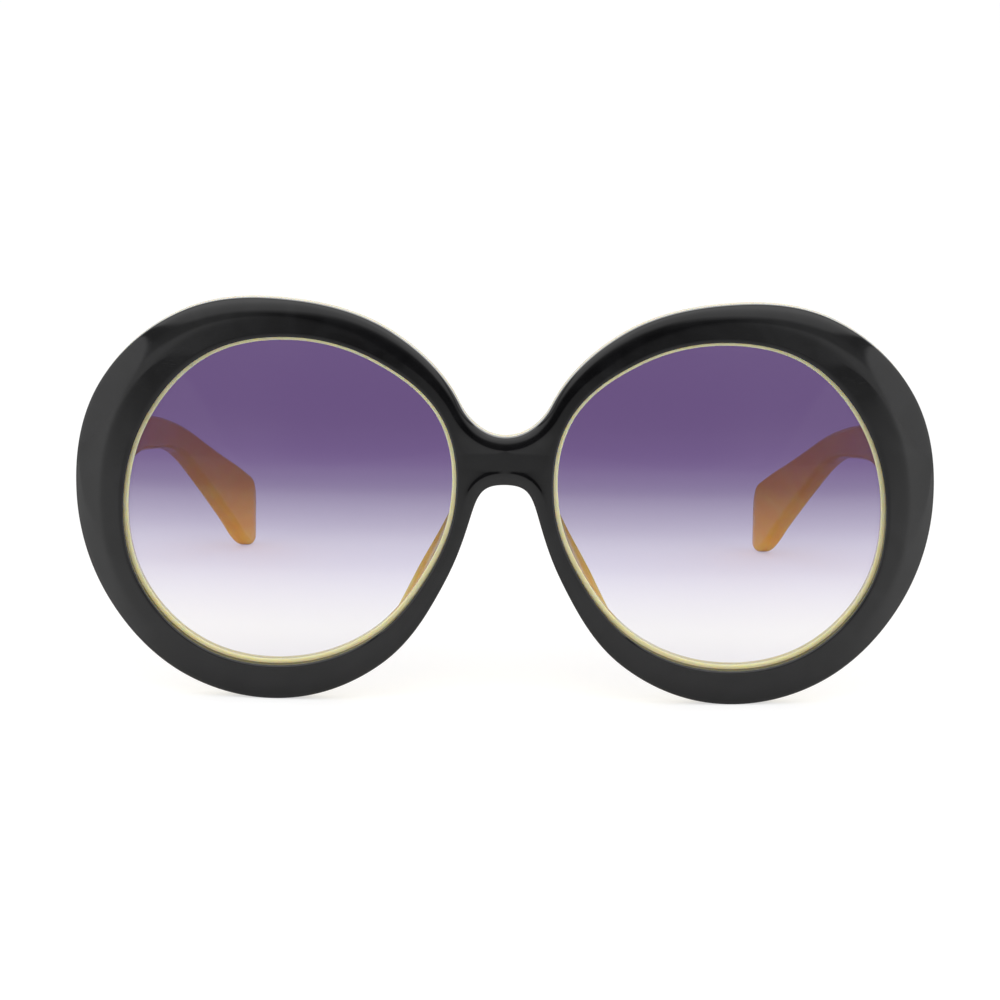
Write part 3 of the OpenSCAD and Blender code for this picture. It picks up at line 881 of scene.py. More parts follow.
@once
def fading_glass(settings):
    """Clear glass whose tint fades from the top down."""
    lens, reach = settings.lens, settings.front.opening_size
    material, shader = new_material("fading_glass", {
        "Roughness": 0.0, "IOR": GLASS_IOR, "Transmission Weight": 1.0,
        "Specular Tint": (0.4, 0.4, 0.4, 1),
    })
    middle = FrontShape(settings.front).lens_z
    place = add_node(material.node_tree, "ShaderNodeTexCoord")["Object"]
    height = place.axes()["Z"].fade(middle - reach, middle + reach, "LINEAR")
    tint = height.ramp([
        (0.0, lens.tint_bottom), (0.13, lens.tint_bottom), (0.28, lens.tint_pale),
        (0.40, lens.tint_lower), (0.52, lens.tint_middle), (0.61, lens.tint_upper),
        (0.73, lens.tint_top), (1.0, lens.tint_top),
    ], "CARDINAL")
    feed(shader, {"Base Color": tint})
    return material


# Geometry Nodes

LENS_WELD = 0.0005 * MM
SCREW_SIDES = 48
# How much of a screw's head the shank reaches through, and how far its slot's cutter runs past
HEAD_SHARE, SLOT_REACH, SLOT_ABOVE = 0.7, 3.0, 2.0


def end_tree(tree, result, geometry, material):
    """Makes the instances of a tree real and gives them their material."""
    real = add_node(tree, "GeometryNodeRealizeInstances", {"Geometry": geometry})
    done = add_node(
        tree, "GeometryNodeSetMaterial", {"Geometry": real["Geometry"], "Material": material}
    )
    feed(result, {0: done["Geometry"]})
    return tree


def lens_tree():
    """A domed lens with a bevelled edge, from the outline of its opening."""
    tree, given, result = new_tree(
        "Domed Lens", "GeometryNodeTree",
        {
            "Outline": "Geometry", "Centre": "Vector", "Columns": 96, "Rings": 16,
            "Middle Depth": 0.0, "Half Thickness": 0.001, "Sag": 0.002, "Bevel": 0.001,
            "Sweep": 0.0, "Sweep Start": 0.0, "Material": "Material",
        },
        {"Lens": "Geometry"},
    )
    columns, rings, centre = given["Columns"], given["Rings"], given["Centre"]
    # Rows run from the middle of the front over the tip of the bevel to the middle of the back
    rows = rings * 2.0 + 2.0
    grid = add_node(
        tree, "GeometryNodeMeshGrid",
        {"Size X": 1.0, "Size Y": 1.0, "Vertices X": columns + 1.0, "Vertices Y": rows + 1.0},
    )
    position = add_node(tree, "GeometryNodeInputPosition")[0]
    on_grid = position.axes()
    column = ((on_grid["X"] + 0.5) * columns).math("ROUND").math("FLOORED_MODULO", columns)
    tip = rings + 1.0
    from_tip = ((on_grid["Y"] + 0.5) * rows).math("ROUND") - tip
    beyond = from_tip.math("ABSOLUTE")
    out = ((tip - beyond) / rings).math("MINIMUM", 1.0)
    edge = add_node(
        tree, "GeometryNodeSampleIndex",
        {"Geometry": given["Outline"], "Value": position, "Index": column},
        data_type="FLOAT_VECTOR", domain="POINT",
    )["Value"]
    reach = edge - centre
    bevel = (1.0 - beyond.math("MINIMUM", 1.0)) * given["Bevel"]
    flat = (centre + reach.scaled(out) + reach.math("NORMALIZE").scaled(bevel)).axes()
    depth = from_tip.math("SIGN") * given["Half Thickness"] + given["Middle Depth"]
    depth = depth - (1.0 - out * out) * given["Sag"]
    past = flat["X"].math("ABSOLUTE") - given["Sweep Start"]
    swept = past * given["Sweep"].math("TANGENT")
    place = add_node(
        tree, "ShaderNodeCombineXYZ", {"X": flat["X"], "Y": depth + swept, "Z": flat["Z"]}
    )[0]
    domed = add_node(
        tree, "GeometryNodeSetPosition", {"Geometry": grid["Mesh"], "Position": place}
    )
    closed = add_node(
        tree, "GeometryNodeMergeByDistance",
        {"Geometry": domed["Geometry"], "Distance": LENS_WELD},
    )
    return end_tree(tree, result, closed["Geometry"], given["Material"])


def screw_tree():
    """Slotted screws on points: each point's facing attribute is the way its head looks."""
    tree, given, result = new_tree(
        "Slotted Screws", "GeometryNodeTree",
        {
            "Points": "Geometry", "Head Radius": 0.001, "Head Height": 0.001,
            "Shank Radius": 0.001, "Length": 0.002, "Slot Width": 0.0004, "Slot Depth": 0.0002,
            "Turn Seed": 3, "Material": "Material",
        },
        {"Screws": "Geometry"},
    )

    def combine(**values):
        return add_node(tree, "ShaderNodeCombineXYZ", values)[0]

    def lowered(geometry, depth):
        """Geometry moved down the screw's axis, until its top is that far under the head's."""
        inputs = {"Geometry": geometry, "Translation": combine(Z=depth * -1.0)}
        return add_node(tree, "GeometryNodeTransform", inputs)["Geometry"]

    def cylinder(radius, depth):
        inputs = {"Vertices": SCREW_SIDES, "Radius": radius, "Depth": depth}
        made = add_node(tree, "GeometryNodeMeshCylinder", inputs, fill_type="NGON")
        return lowered(made["Mesh"], depth * 0.5)

    def boolean(operation, inputs):
        return add_node(
            tree, "GeometryNodeMeshBoolean", inputs, operation=operation, solver="EXACT"
        )

    under = given["Head Height"] * HEAD_SHARE
    whole = boolean("UNION", {"Mesh": cylinder(given["Head Radius"], given["Head Height"])})
    shank = cylinder(given["Shank Radius"], given["Length"] - under)
    feed(whole.node, {"Mesh": lowered(shank, under)})
    slot_size = combine(
        X=given["Head Radius"] * SLOT_REACH, Y=given["Slot Width"],
        Z=given["Slot Depth"] * SLOT_ABOVE,
    )
    slot = add_node(tree, "GeometryNodeMeshCube", {"Size": slot_size})
    screw = boolean("DIFFERENCE", {"Mesh 1": whole["Mesh"], "Mesh 2": slot["Mesh"]})
    facing = add_node(
        tree, "GeometryNodeInputNamedAttribute", {"Name": "facing"}, data_type="FLOAT_VECTOR"
    )["Attribute"]
    upright = add_node(tree, "FunctionNodeAlignRotationToVector", {"Vector": facing}, axis="Z")
    turn = add_node(
        tree, "FunctionNodeRandomValue",
        {"Min": 0.0, "Max": math.pi, "Seed": given["Turn Seed"]}, data_type="FLOAT",
    )
    angle = Wire(next(socket for socket in turn.node.outputs if socket.enabled))
    spin = add_node(tree, "FunctionNodeEulerToRotation", {"Euler": combine(Z=angle)})
    turned = add_node(
        tree, "FunctionNodeRotateRotation",
        {"Rotation": upright["Rotation"], "Rotate By": spin[0]}, rotation_space="LOCAL",
    )
    screws = add_node(
        tree, "GeometryNodeInstanceOnPoints",
        {
            "Points": given["Points"], "Instance": screw["Mesh"],
            "Rotation": turned["Rotation"],
        },
    )
    return end_tree(tree, result, screws["Instances"], given["Material"])


# Pieces


class FRONT_OT_black_layer(bpy.types.Operator):
    """Makes the black layer of the front, both rims and the bridge in one piece"""

    bl_idname = "sunglasses.black_layer"
    bl_label = "Black Front Layer"

    def execute(self, context):
        settings = context.scene.sunglasses
        s, shape = settings.front, FrontShape(settings.front)
        opening = [
            shape.opening_ring(s.edge_round * gone, s.edge_round * left)
            for gone, left in quarter(BLACK_EDGE_RINGS)
        ]
        fall = np.minimum(s.crown, s.crown_limit * shape.edge_w)
        crown = [
            shape.edge_ring(shape.edge_w * s.crown_share * left, fall * gone)
            for gone, left in quarter(CROWN_RINGS)
        ]
        back_y = s.black_d + s.bond
        back_edge = shape.edge_ring(s.bond, back_y)
        back_opening = shape.opening_ring(0, back_y)
        points, faces = both_halves(shape, [
            back_opening, *opening, *shape.between(opening[-1], crown[0], FLAT_RINGS), *crown,
            shape.edge_ring(0, s.black_d), back_edge,
            *shape.between(back_edge, back_opening, HIDDEN_RINGS),
        ])
        black = polished_black(settings.finish)
        piece = add_solid("black_layer", points, faces, settings.temple, black)
        join_frame(piece, "front", "black_acetate", "front_face")
        return {"FINISHED"}


class FRONT_OT_amber_layer(bpy.types.Operator):
    """Makes the translucent layer behind it, with the lip and the groove round each lens"""

    bl_idname = "sunglasses.amber_layer"
    bl_label = "Amber Back Layer"

    def execute(self, context):
        settings = context.scene.sunglasses
        s, shape = settings.front, FrontShape(settings.front)
        back_y, r = shape.back_y, s.lip_round
        edge = [
            shape.edge_ring(s.back_round * gone, back_y - s.back_round * left)
            for gone, left in quarter(EDGE_RINGS)
        ]
        back_lip = [
            shape.opening_ring(r * left - s.lip_w, back_y - r * gone)
            for gone, left in quarter(EDGE_RINGS)
        ]
        front_lip = [
            shape.opening_ring(r * gone - s.lip_w, s.black_d + r * left)
            for gone, left in quarter(EDGE_RINGS)
        ]
        groove = [
            shape.opening_ring(-s.lip_w, back_y - s.back_lip_d),
            shape.opening_ring(s.groove_d - s.lip_w, shape.groove_y),
            shape.opening_ring(-s.lip_w, s.black_d + s.lip_d),
        ]
        front_edge = shape.edge_ring(0, s.black_d)
        front_opening = shape.opening_ring(0, s.black_d)
        points, faces = both_halves(shape, [
            front_opening, *shape.between(front_opening, front_edge, HIDDEN_RINGS), front_edge,
            *edge, *shape.between(edge[-1], back_lip[0], FLAT_RINGS), *back_lip, *groove,
            *front_lip,
        ])
        amber = pale_amber(settings.finish)
        piece = add_solid("amber_layer", points, faces, settings.temple, amber)
        join_frame(piece, "front", "amber_acetate", "front_backing")
        return {"FINISHED"}


class FRONT_OT_lenses(bpy.types.Operator):
    """Makes the two tinted lenses, each domed from the outline of its opening"""

    bl_idname = "sunglasses.lenses"
    bl_label = "Tinted Lenses"

    def execute(self, context):
        settings = context.scene.sunglasses
        s, lens, shape = settings.front, settings.lens, FrontShape(settings.front)
        n, tree, glass = s.rim_steps, lens_tree(), fading_glass(settings)
        outline = shape.opening(np.linspace(0, 360, n, endpoint=False), -s.lip_w)
        for side, sign in SIDES.items():
            mesh = bpy.data.meshes.new(f"{side}_tinted_lens")
            edges = [(i, (i + 1) % n) for i in range(n)]
            mesh.from_pydata([(sign * x, 0, z) for x, z in outline], edges, [])
            piece = add_object(mesh, glass)
            use_tree(piece, tree, {
                "Centre": (sign * s.lens_x, 0, shape.lens_z),
                "Columns": n,
                "Rings": lens.rings,
                "Middle Depth": shape.groove_y - settings.temple.tip_y / 2,
                "Half Thickness": shape.groove_y - s.black_d - s.lip_d - lens.gap,
                "Sag": s.opening_size**2 / (2 * lens.dome_radius),
                "Bevel": s.groove_d - 2 * lens.gap,
                "Sweep": s.wrap_angle,
                "Sweep Start": s.bridge_flat + s.wrap_blend / 2,
                "Material": glass,
            })
            apply_modifiers(piece, LENS_CRISP)
            join_frame(piece, "front", "tinted_lens", f"{side}_lens")
        return {"FINISHED"}


class FRONT_OT_nose_pads(bpy.types.Operator):
    """Makes the nose pads, fins behind the rims whose free edges lean towards the lenses"""

    bl_idname = "sunglasses.nose_pads"
    bl_label = "Nose Pads"

    def execute(self, context):
        settings = context.scene.sunglasses
        shape, pad = FrontShape(settings.front), settings.pad
        sections = [self.section(shape, pad, t) for t in np.linspace(0, 1, PAD_SECTIONS)]
        for side, sign in SIDES.items():
            amber = gold_amber(settings.finish)
            piece = loft(f"{side}_pad", sections, sign, settings.temple, amber)
            self.hold_edges(piece.data)
            smooth = piece.modifiers.new("Smooth", "SUBSURF")
            smooth.levels = smooth.render_levels = 2
            apply_modifiers(piece)
            join_frame(piece, "front", "amber_acetate", f"{side}_nose_pad")
        return {"FINISHED"}

    def section(self, shape, pad, t):
        """Foot, waist and free edge of a pad at share t of its length."""
        q = math.degrees(lerp(pad.start, pad.end, t))
        rise = math.sqrt(max(math.sin(math.pi * t), PAD_LEAST))
        near = shape.polar(q, shape.rim_radius(q) - pad.outer_gap)
        far = shape.opening(q, pad.inner_gap - shape.sizes.lip_w)
        out = unit(near - far)
        depth, half = pad.depth * rise, pad.edge / 2 * lerp(PAD_END, 1, rise)
        flare = pad.flare * rise**PAD_GROW
        tip = (near + far) / 2 - out * flare
        waist = tip + out * flare * (1 - pad.waist_lean)
        back = shape.back_y
        deep, bend = back + depth * pad.waist_depth, back + depth - half * rise
        corners = [
            (near, back), (far, back), (waist - out * half, deep), (tip - out * half, bend),
            (tip, back + depth), (tip + out * half, bend),
            (waist + out * half * PAD_FULL, deep),
        ]
        return np.array([shape.at_depth(p, y) for p, y in corners])

    def hold_edges(self, mesh):
        """Keeps the sharp edges of a pad while the rest is smoothed."""
        with edited(mesh) as work:
            crease = work.edges.layers.float.new("crease_edge")
            for edge in work.edges:
                if edge.calc_face_angle(0) > PAD_SHARP:
                    edge[crease] = PAD_HOLD


def temple_curves(temple):
    """The edges and the section of a temple at a depth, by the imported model's rules."""
    table = np.array(TEMPLE_SIDE) * MM
    slope = np.vstack([table[1] - table[0], table[2:] - table[:-2], table[-1] - table[-2]])
    long = temple.tip_y - temple.joint_y

    def side_value(y, column):
        behind = (y - temple.joint_y) / long * table[-1, 0]
        i = int(np.clip(np.searchsorted(table[:, 0], behind, "right") - 1, 0, len(table) - 2))
        a, b = table[i], table[i + 1]
        w = b[0] - a[0]
        t = (behind - a[0]) / w
        rise = [slope[k][column] / slope[k][0] for k in (i, i + 1)]
        return (
            (2 * t**3 - 3 * t**2 + 1) * a[column] + (t**3 - 2 * t**2 + t) * w * rise[0]
            + (3 * t**2 - 2 * t**3) * b[column] + (t**3 - t**2) * w * rise[1]
        )

    def plan(y):
        lean = math.tan(temple.lean) * (y - temple.joint_y)
        curled = max(0, (y - temple.curl_y) / (temple.tip_y - temple.curl_y))
        return temple.temple_x - lean - temple.curl * curled**2

    def end_round(y, reach):
        e = max(0, (y - temple.tip_y + reach) / reach)
        return max(temple.tip_blunt, math.sqrt(max(0, 1 - e * e)))

    def edges(y):
        middle, half = side_value(y, 1), side_value(y, 2) / 2
        under = middle - half * end_round(y, temple.under_round)
        return under, middle + half * end_round(y, temple.tip_round)

    def section(y, inset=0.0):
        under, top = edges(y)
        thin = lerp(temple.tip_thin, 1, end_round(y, temple.tip_round))
        half = lerp(temple.joint_t, temple.tip_t, (y - temple.joint_y) / long) / 2 * thin
        r = min(temple.edge_round, half * ROUND_OF_HALF, (top - under) * ROUND_OF_HEIGHT)
        side, high, low = half - r, top - r, under + r
        r = r - inset
        corners = [(side, high, r), (-side, high, r), (-side, low, r), (side, low, r)]
        return np.array([(plan(y) + across, y, up) for across, up in rounded(corners)])

    return edges, section


class FRONT_OT_end_blocks(bpy.types.Operator):
    """Makes the end blocks, which run from the backs of the rims into the temples"""

    bl_idname = "sunglasses.end_blocks"
    bl_label = "End Blocks"

    def execute(self, context):
        settings = context.scene.sunglasses
        temple, shape = settings.temple, FrontShape(settings.front)
        inner_x = inner_side(temple)
        base_x = inner_x + temple.block_w
        foot_y, base_y = (
            shape.back_y + float(shape.wrap(x)) - settings.front.bond for x in (inner_x, base_x)
        )
        joint = np.array([inner_x + temple.joint_t, temple.joint_y])
        outer = bezier(
            [base_x, base_y], [base_x, temple.joint_y - temple.block_out],
            joint - [0, temple.block_in], joint, np.linspace(0, 1, BLOCK_SECTIONS),
        )
        inner = np.linspace([inner_x, foot_y], [inner_x, temple.joint_y], BLOCK_SECTIONS)
        sections = [self.section(temple, a, b) for a, b in zip(inner[:-1], outer)]
        for gone, left in quarter(BLOCK_MITRE_SECTIONS):
            back = [0, temple.mitre * left]
            sections.append(
                self.section(temple, inner[-1] - back, joint - back, temple.mitre * gone)
            )
        for side, sign in SIDES.items():
            piece = loft(f"{side}_block", sections, sign, temple, gold_amber(settings.finish))
            carve_pocket(piece, temple, sign, -temple.front_pocket, PAST_JOINT)
            join_frame(piece, "front", "amber_acetate", f"{side}_end_block")
        return {"FINISHED"}

    def section(self, temple, inner, outer, inset=0.0):
        """A section of the block between a point on its inner side and one on its outer side."""
        under, top = temple_curves(temple)[0](temple.joint_y)
        width = np.linalg.norm(outer - inner)
        big, small = temple.block_round, BLOCK_SMALL
        corners = [
            (width - big, top - big, big), (small, top - small, small),
            (small, under + small, small), (width - big, under + big, big),
        ]
        corners = [(across, up, max(r - inset, BLOCK_LEAST)) for across, up, r in corners]
        return np.array([
            (*lerp(inner, outer, across / width), up) for across, up in rounded(corners)
        ])


class FRONT_OT_temples(bpy.types.Operator):
    """Makes the two temples, each with the recess for its hinge leaf"""

    bl_idname = "sunglasses.temples"
    bl_label = "Temples"

    def execute(self, context):
        settings = context.scene.sunglasses
        temple = settings.temple
        _, section = temple_curves(temple)
        start, mitre = temple.joint_y + temple.joint_gap, temple.mitre
        round_y = temple.tip_y - temple.under_round
        tip = np.sin(np.linspace(0, math.pi / 2, TIP_SECTIONS))[1:]
        sections = [
            section(start + mitre * gone, mitre * left)
            for gone, left in quarter(MITRE_SECTIONS)
        ]
        sections += [section(y) for y in np.linspace(start + mitre, round_y, TEMPLE_SECTIONS)[1:]]
        sections += [section(y) for y in lerp(round_y, temple.tip_y, tip)]
        for side, sign in SIDES.items():
            piece = loft(f"{side}_arm", sections, sign, temple, honey_amber(settings.finish))
            carve_pocket(piece, temple, sign, -PAST_JOINT, temple.temple_pocket)
            join_frame(piece, f"{side}_temple", "temple_acetate", f"{side}_temple")
        return {"FINISHED"}


class FRONT_OT_hinge_leaves(bpy.types.Operator):
    """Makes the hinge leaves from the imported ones, with their edges eased"""

    bl_idname = "sunglasses.hinge_leaves"
    bl_label = "Hinge Leaves"

    def execute(self, context):
        settings = context.scene.sunglasses
        for side in SIDES:
            for part, body in (("front", "front"), ("temple", f"{side}_temple")):
                node = f"{side}_{part}_leaf"
                mesh = self.plain_faces(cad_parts[node], f"{side}_{part}_plate")
                piece = add_object(mesh, satin_brass(settings.finish))
                bevel_edges(piece, settings.hinge.leaf_edge)
                join_frame(piece, body, "hinge_metal", node)
        return {"FINISHED"}

    def plain_faces(self, node, name):
        """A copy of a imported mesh, welded, with its flat stretches made single faces."""
        mesh = bpy.data.meshes.new(name)
        with edited(mesh, node.data) as work:
            bmesh.ops.remove_doubles(work, verts=work.verts, dist=LEAF_WELD)
            bmesh.ops.dissolve_limit(work, angle_limit=FLAT, verts=work.verts, edges=work.edges)
        return mesh


class FRONT_OT_screws(bpy.types.Operator):
    """Makes the slotted screws, the small ones of the leaves and those that pin the hinges"""

    bl_idname = "sunglasses.screws"
    bl_label = "Screws"

    def execute(self, context):
        settings = context.scene.sunglasses
        hinge, temple = settings.hinge, settings.temple
        tree, steel = screw_tree(), turned_steel(settings.finish)
        low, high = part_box("left_hinge_screw")
        small = {
            "Head Radius": hinge.small_head_r, "Head Height": hinge.small_head_h,
            "Shank Radius": hinge.small_shank_r, "Length": hinge.small_length,
            "Slot Depth": hinge.small_head_h / 2,
        }
        pins = {
            "Head Radius": hinge.head_r, "Head Height": hinge.head_h,
            "Shank Radius": hinge.shank_r, "Length": high.z - low.z,
            "Slot Depth": hinge.head_h / 2,
        }

        def leaf_points(sign, from_joint):
            """The screws of a leaf, one above the other, with their heads inwards."""
            x = sign * (inner_side(temple) - hinge.proud)
            y = temple.joint_y + from_joint - temple.tip_y / 2
            heights = (HINGE_Z - hinge.small_z, HINGE_Z + hinge.small_z)
            return [((x, y, z), (-sign, 0, 0)) for z in heights]

        fronts = leaf_points(1, -hinge.front_screw_y) + leaf_points(-1, -hinge.front_screw_y)
        tops = [
            ((sign * (low.x + high.x) / 2, (low.y + high.y) / 2, high.z), (0, 0, 1))
            for sign in SIDES.values()
        ]
        jobs = [
            ("front_leaf_screws", "front", small, fronts,
             ("left_front_leaf_screws", "right_front_leaf_screws")),
            ("hinge_pins", "front", pins, tops, ("left_hinge_screw", "right_hinge_screw")),
        ] + [
            (f"{side}_arm_screws", f"{side}_temple", small,
             leaf_points(sign, hinge.temple_screw_y), (f"{side}_temple_leaf_screws",))
            for side, sign in SIDES.items()
        ]
        for seed, (name, body, sizes, points, nodes) in enumerate(jobs, FIRST_SEED):
            mesh = bpy.data.meshes.new(name)
            mesh.from_pydata([place for place, _ in points], [], [])
            facing = mesh.attributes.new("facing", "FLOAT_VECTOR", "POINT")
            for item, (_, way) in zip(facing.data, points):
                item.vector = way
            piece = add_object(mesh, steel)
            use_tree(piece, tree, {
                **sizes, "Slot Width": hinge.slot_w, "Turn Seed": seed, "Material": steel,
            })
            apply_modifiers(piece)
            bevel_edges(piece, hinge.screw_edge, SCREW_CRISP)
            join_frame(piece, body, "screw_steel", *nodes)
        return {"FINISHED"}


# The stage

WHITE, BLACK = (1, 1, 1, 1), (0, 0, 0, 1)

# The room that the polished front mirrors, by how far across and how far up a reflection looks.
# A pair gives where a change starts and where it ends.
LAMP_STOPS = [
    (0.50, 0.0), (0.56, 0.06), (0.60, 0.27), (0.64, 0.52), (0.70, 0.60), (0.78, 0.74),
    (0.88, 1.0),
]
LAMP_LEVEL, LAMP_SCALE, LAMP_UP = 2.1, 0.5, 0.46
LAMP_BOW, BOW_ACROSS = 0.07, (0.08, 0.26)
# The lamp overhead is above a line that climbs outwards, and the lights at the sides below it
LINE_CLIMB, LINE_UP, OVER_LINE, UNDER_LINE = 1.5, 0.55, (0.06, 0.16), (-0.01, -0.06)
BESIDE_LEVEL = 1.4
# Light in the gap between them: in all, what it loses far out and what it gains low down
GAP_LEVEL, GAP_ACROSS = 0.47, (0.18, 0.30)
GAP_LOSS, LOSS_ACROSS = -0.16, (0.36, 0.50)
GAP_GAIN, GAIN_UP = 0.42, (0.02, -0.05)

# The floor, in metres from the middle and from the front of the rims
FLOOR_HALF, FLOOR_BEHIND, FLOOR_BEFORE, FLOOR_GAP = 2, 3, 0.40, 0.02 * MM
# In reflections it has a middle strip, which narrows towards the viewer and fades far in front
STRIP_NARROWS, STRIP_EDGE, STRIP_FAR = 0.3, (0.05, 0.09), (-0.05, -0.45)

# Light panels: size, soft share of each side, distance to the side, in front and up, and tilt
SIDE_PANEL = (0.34, 0.26), (0.15, 0.35), (0.285, -0.12, 0.10), 17
TOP_PANEL = (0.28, 0.72), (0.25, 0.2), (0, -0.41, 0.28), 12

# The camera circles this height on the front of the rims
SIGHT_Z = 35.76 * MM
SENSOR, CLIP_START, CLIP_END = 36, 0.01, 50


def room_in_reflections(across, up):
    """What the front mirrors: a light above, one at each side, and dark gaps between them."""
    gap = across.fade(*LOSS_ACROSS) * GAP_LOSS + GAP_LEVEL
    gap = (up.fade(*GAIN_UP) * GAP_GAIN + gap) * across.fade(*GAP_ACROSS)
    line = across * -LINE_CLIMB + up + LINE_UP
    height = across.fade(*BOW_ACROSS) * LAMP_BOW + (up * LAMP_SCALE + LAMP_UP)
    lamp = height.ramp([(position, (level,) * 3) for position, level in LAMP_STOPS])
    above = lamp * LAMP_LEVEL * line.fade(*OVER_LINE)
    beside = line.fade(*UNDER_LINE) * BESIDE_LEVEL
    return above.math("MAXIMUM", beside).math("MAXIMUM", gap)


def empty_tree(owner):
    """The node tree of a world, a light or a material, without its first nodes."""
    owner.use_nodes = True
    owner.node_tree.nodes.clear()
    return owner.node_tree


def studio_world(scene, level):
    """Soft light from all round. Reflections show white behind and the room in front."""
    scene.world = bpy.data.worlds.new("Studio")
    tree = empty_tree(scene.world)
    axes = add_node(tree, "ShaderNodeTexCoord")["Generated"].axes()
    rays = add_node(tree, "ShaderNodeLightPath")
    glossy = rays["Is Glossy Ray"]
    room = room_in_reflections(axes["X"].math("ABSOLUTE"), axes["Z"])
    strength = (room - level) * glossy + level
    lit = add_node(tree, "ShaderNodeBackground", {"Color": WHITE, "Strength": strength})
    white = add_node(tree, "ShaderNodeBackground", {"Color": WHITE, "Strength": 1.0})
    seen = rays["Is Camera Ray"].math("MAXIMUM", rays["Is Transmission Ray"])
    seen = seen.math("MAXIMUM", glossy * axes["Y"].math("GREATER_THAN", 0.0))
    shown = add_node(tree, "ShaderNodeMixShader", {0: seen, 1: lit[0], 2: white[0]})
    add_node(tree, "ShaderNodeOutputWorld", {"Surface": shown[0]})


def floor_material(studio, front_y):
    """A pale floor that shows white, and keeps the shadows of the sunglasses."""
    material = bpy.data.materials.new("studio_floor")
    tree = empty_tree(material)
    rays = add_node(tree, "ShaderNodeLightPath")
    axes = add_node(tree, "ShaderNodeTexCoord")["Object"].axes()
    ahead = axes["Y"] - front_y
    beside = ahead * STRIP_NARROWS + axes["X"].math("ABSOLUTE")
    side = beside.fade(*STRIP_EDGE) * ahead.math("LESS_THAN", 0.0)
    dim = ahead.fade(*STRIP_FAR, "LINEAR") * (1.0 - side) * studio.front_dim
    mirrored = rays["Is Glossy Ray"] * (1.0 - rays["Is Transmission Ray"])
    seen = rays["Is Camera Ray"].math("MAXIMUM", rays["Is Transmission Ray"])
    less = mirrored * dim + seen * studio.shadow_fill
    fill = mirrored * (side * studio.side_gloss) + seen * studio.floor_fill
    matt = add_node(tree, "ShaderNodeBsdfDiffuse", {"Color": (*studio.floor, 1)})
    dark = add_node(tree, "ShaderNodeBsdfDiffuse", {"Color": BLACK})
    lit = add_node(tree, "ShaderNodeMixShader", {0: less, 1: matt[0], 2: dark[0]})
    glow = add_node(tree, "ShaderNodeEmission", {"Color": WHITE, "Strength": fill})
    both = add_node(tree, "ShaderNodeAddShader", {0: lit[0], 1: glow[0]})
    add_node(tree, "ShaderNodeOutputMaterial", {"Surface": both[0]})
    return material


def add_panel(scene, name, size, softness, power, place):
    """A rectangular light that fades towards its edges."""
    light = bpy.data.lights.new(name, "AREA")
    light.shape = "RECTANGLE"
    light.size, light.size_y = size
    light.energy = power
    tree = empty_tree(light)
    axes = add_node(tree, "ShaderNodeNewGeometry")["Parametric"].axes()
    level = 1.0
    for axis, soft in zip("XY", softness):
        from_edge = 0.5 - (axes[axis] - 0.5).math("ABSOLUTE")
        level = from_edge.fade(0.0, soft) * level
    glow = add_node(tree, "ShaderNodeEmission", {"Color": WHITE, "Strength": level})
    add_node(tree, "ShaderNodeOutputLight", {"Surface": glow[0]})
    panel = bpy.data.objects.new(name, light)
    panel.matrix_world = place
    panel.visible_glossy = False
    scene.collection.objects.link(panel)


def tilted(angle, axis):
    return Matrix.Rotation(math.radians(angle), 4, axis)


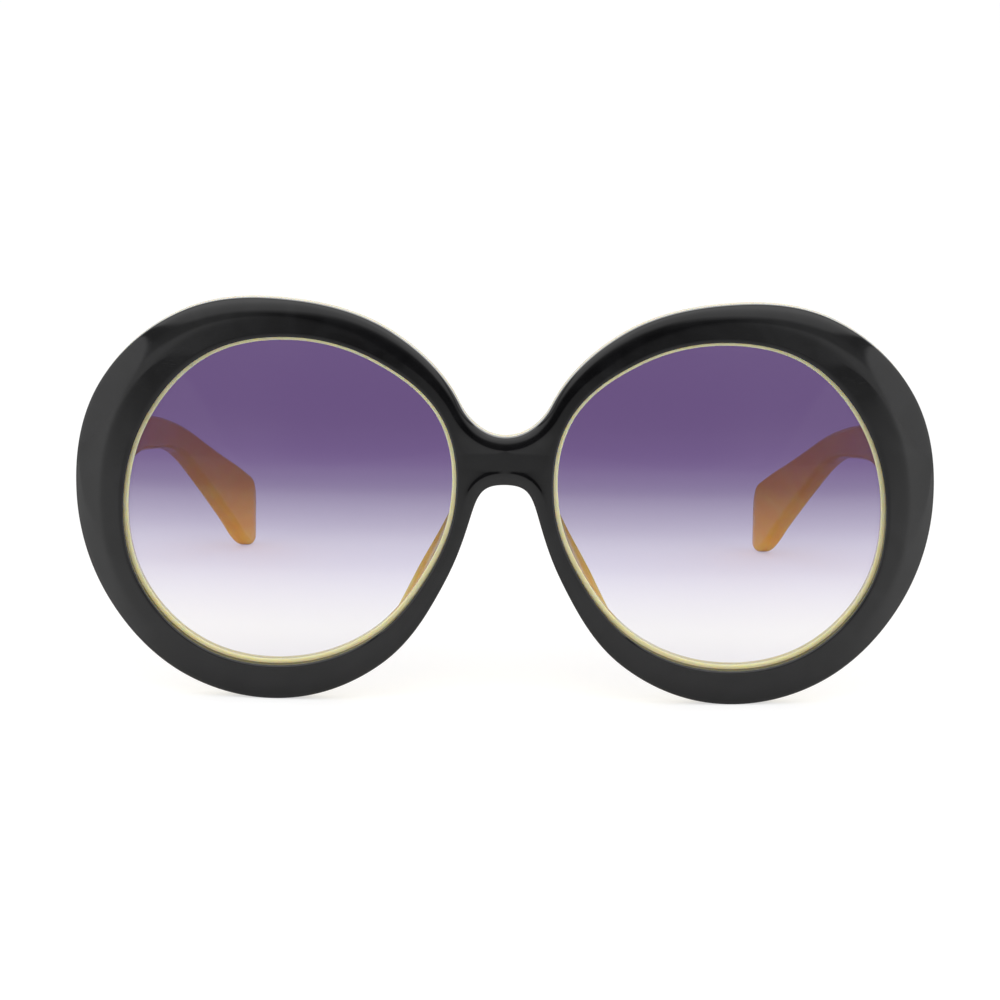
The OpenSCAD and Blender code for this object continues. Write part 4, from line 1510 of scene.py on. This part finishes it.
class FRONT_OT_stage(bpy.types.Operator):
    """Sets the floor, the light and the camera"""

    bl_idname = "sunglasses.stage"
    bl_label = "Studio"

    def execute(self, context):
        settings = context.scene.sunglasses
        studio, scene = settings.studio, context.scene
        front_y = -settings.temple.tip_y / 2
        corners = [
            (x, y, -FLOOR_GAP)
            for x, y in (
                (-FLOOR_HALF, front_y - FLOOR_BEFORE), (FLOOR_HALF, front_y - FLOOR_BEFORE),
                (FLOOR_HALF, FLOOR_BEHIND), (-FLOOR_HALF, FLOOR_BEHIND),
            )
        ]
        mesh = bpy.data.meshes.new("floor")
        mesh.from_pydata(corners, [], [(0, 1, 2, 3)])
        add_object(mesh, floor_material(studio, front_y))
        studio_world(scene, studio.level)
        size, soft, (x, y, z), tilt = SIDE_PANEL
        for side, sign in SIDES.items():
            place = Matrix.Translation((sign * x, front_y + y, z))
            place = place @ tilted(sign * tilt, "Y") @ tilted(90, "X")
            add_panel(scene, f"{side}_light", size, soft, studio.side_light, place)
        size, soft, (x, y, z), tilt = TOP_PANEL
        place = Matrix.Translation((x, front_y + y, z)) @ tilted(tilt, "X")
        add_panel(scene, "top_light", size, soft, studio.top_light, place)
        scene.view_settings.view_transform = "Standard"
        self.add_camera(scene, studio, front_y)
        return {"FINISHED"}

    def add_camera(self, scene, studio, front_y):
        """Sets the camera, which looks down on the rims and turns about its line of sight."""
        camera = bpy.data.objects.new("camera", bpy.data.cameras.new("camera"))
        scene.collection.objects.link(camera)
        camera.data.lens = studio.zoom
        camera.data.sensor_width = SENSOR
        camera.data.clip_start, camera.data.clip_end = CLIP_START, CLIP_END
        line = Vector((0, math.cos(studio.pitch), -math.sin(studio.pitch)))
        place = Vector((0, front_y, SIGHT_Z)) - line * studio.distance
        aim = Vector((studio.aim_x, front_y, studio.aim_z))
        look = (aim - place).to_track_quat("-Z", "Y").to_matrix().to_4x4()
        roll = Matrix.Rotation(studio.roll, 4, "Z")
        camera.matrix_world = Matrix.Translation(place) @ look @ roll
        scene.camera = camera


PIECES = [
    FRONT_OT_black_layer, FRONT_OT_amber_layer, FRONT_OT_lenses, FRONT_OT_nose_pads,
    FRONT_OT_end_blocks, FRONT_OT_temples, FRONT_OT_hinge_leaves, FRONT_OT_screws, FRONT_OT_stage,
]
GROUPS = [
    FrontSizes, LensSizes, PadSizes, TempleSizes, HingeSizes, Finishes, Studio, Sunglasses
]


class VIEW3D_PT_sunglasses(bpy.types.Panel):
    """Lists the pieces of the sunglasses and their sizes"""

    bl_label = "Sunglasses"
    bl_idname = "VIEW3D_PT_sunglasses"
    bl_space_type = "VIEW_3D"
    bl_region_type = "UI"
    bl_category = "Sunglasses"

    def draw(self, context):
        for piece in PIECES:
            self.layout.operator(piece.bl_idname)
        for name in Sunglasses.__annotations__:
            box = self.layout.box()
            box.label(text=name.title())
            group = getattr(context.scene.sunglasses, name)
            for size in group.__annotations__:
                box.prop(group, size)


def register():
    for item in [*GROUPS, *PIECES, VIEW3D_PT_sunglasses]:
        bpy.utils.register_class(item)
    bpy.types.Scene.sunglasses = PointerProperty(type=Sunglasses)


def unregister():
    del bpy.types.Scene.sunglasses
    for item in reversed([*GROUPS, *PIECES, VIEW3D_PT_sunglasses]):
        bpy.utils.unregister_class(item)


def main():
    register()
    for piece in PIECES:
        family, name = piece.bl_idname.split(".")
        getattr(getattr(bpy.ops, family), name)()


if __name__ == "__main__":
    main()
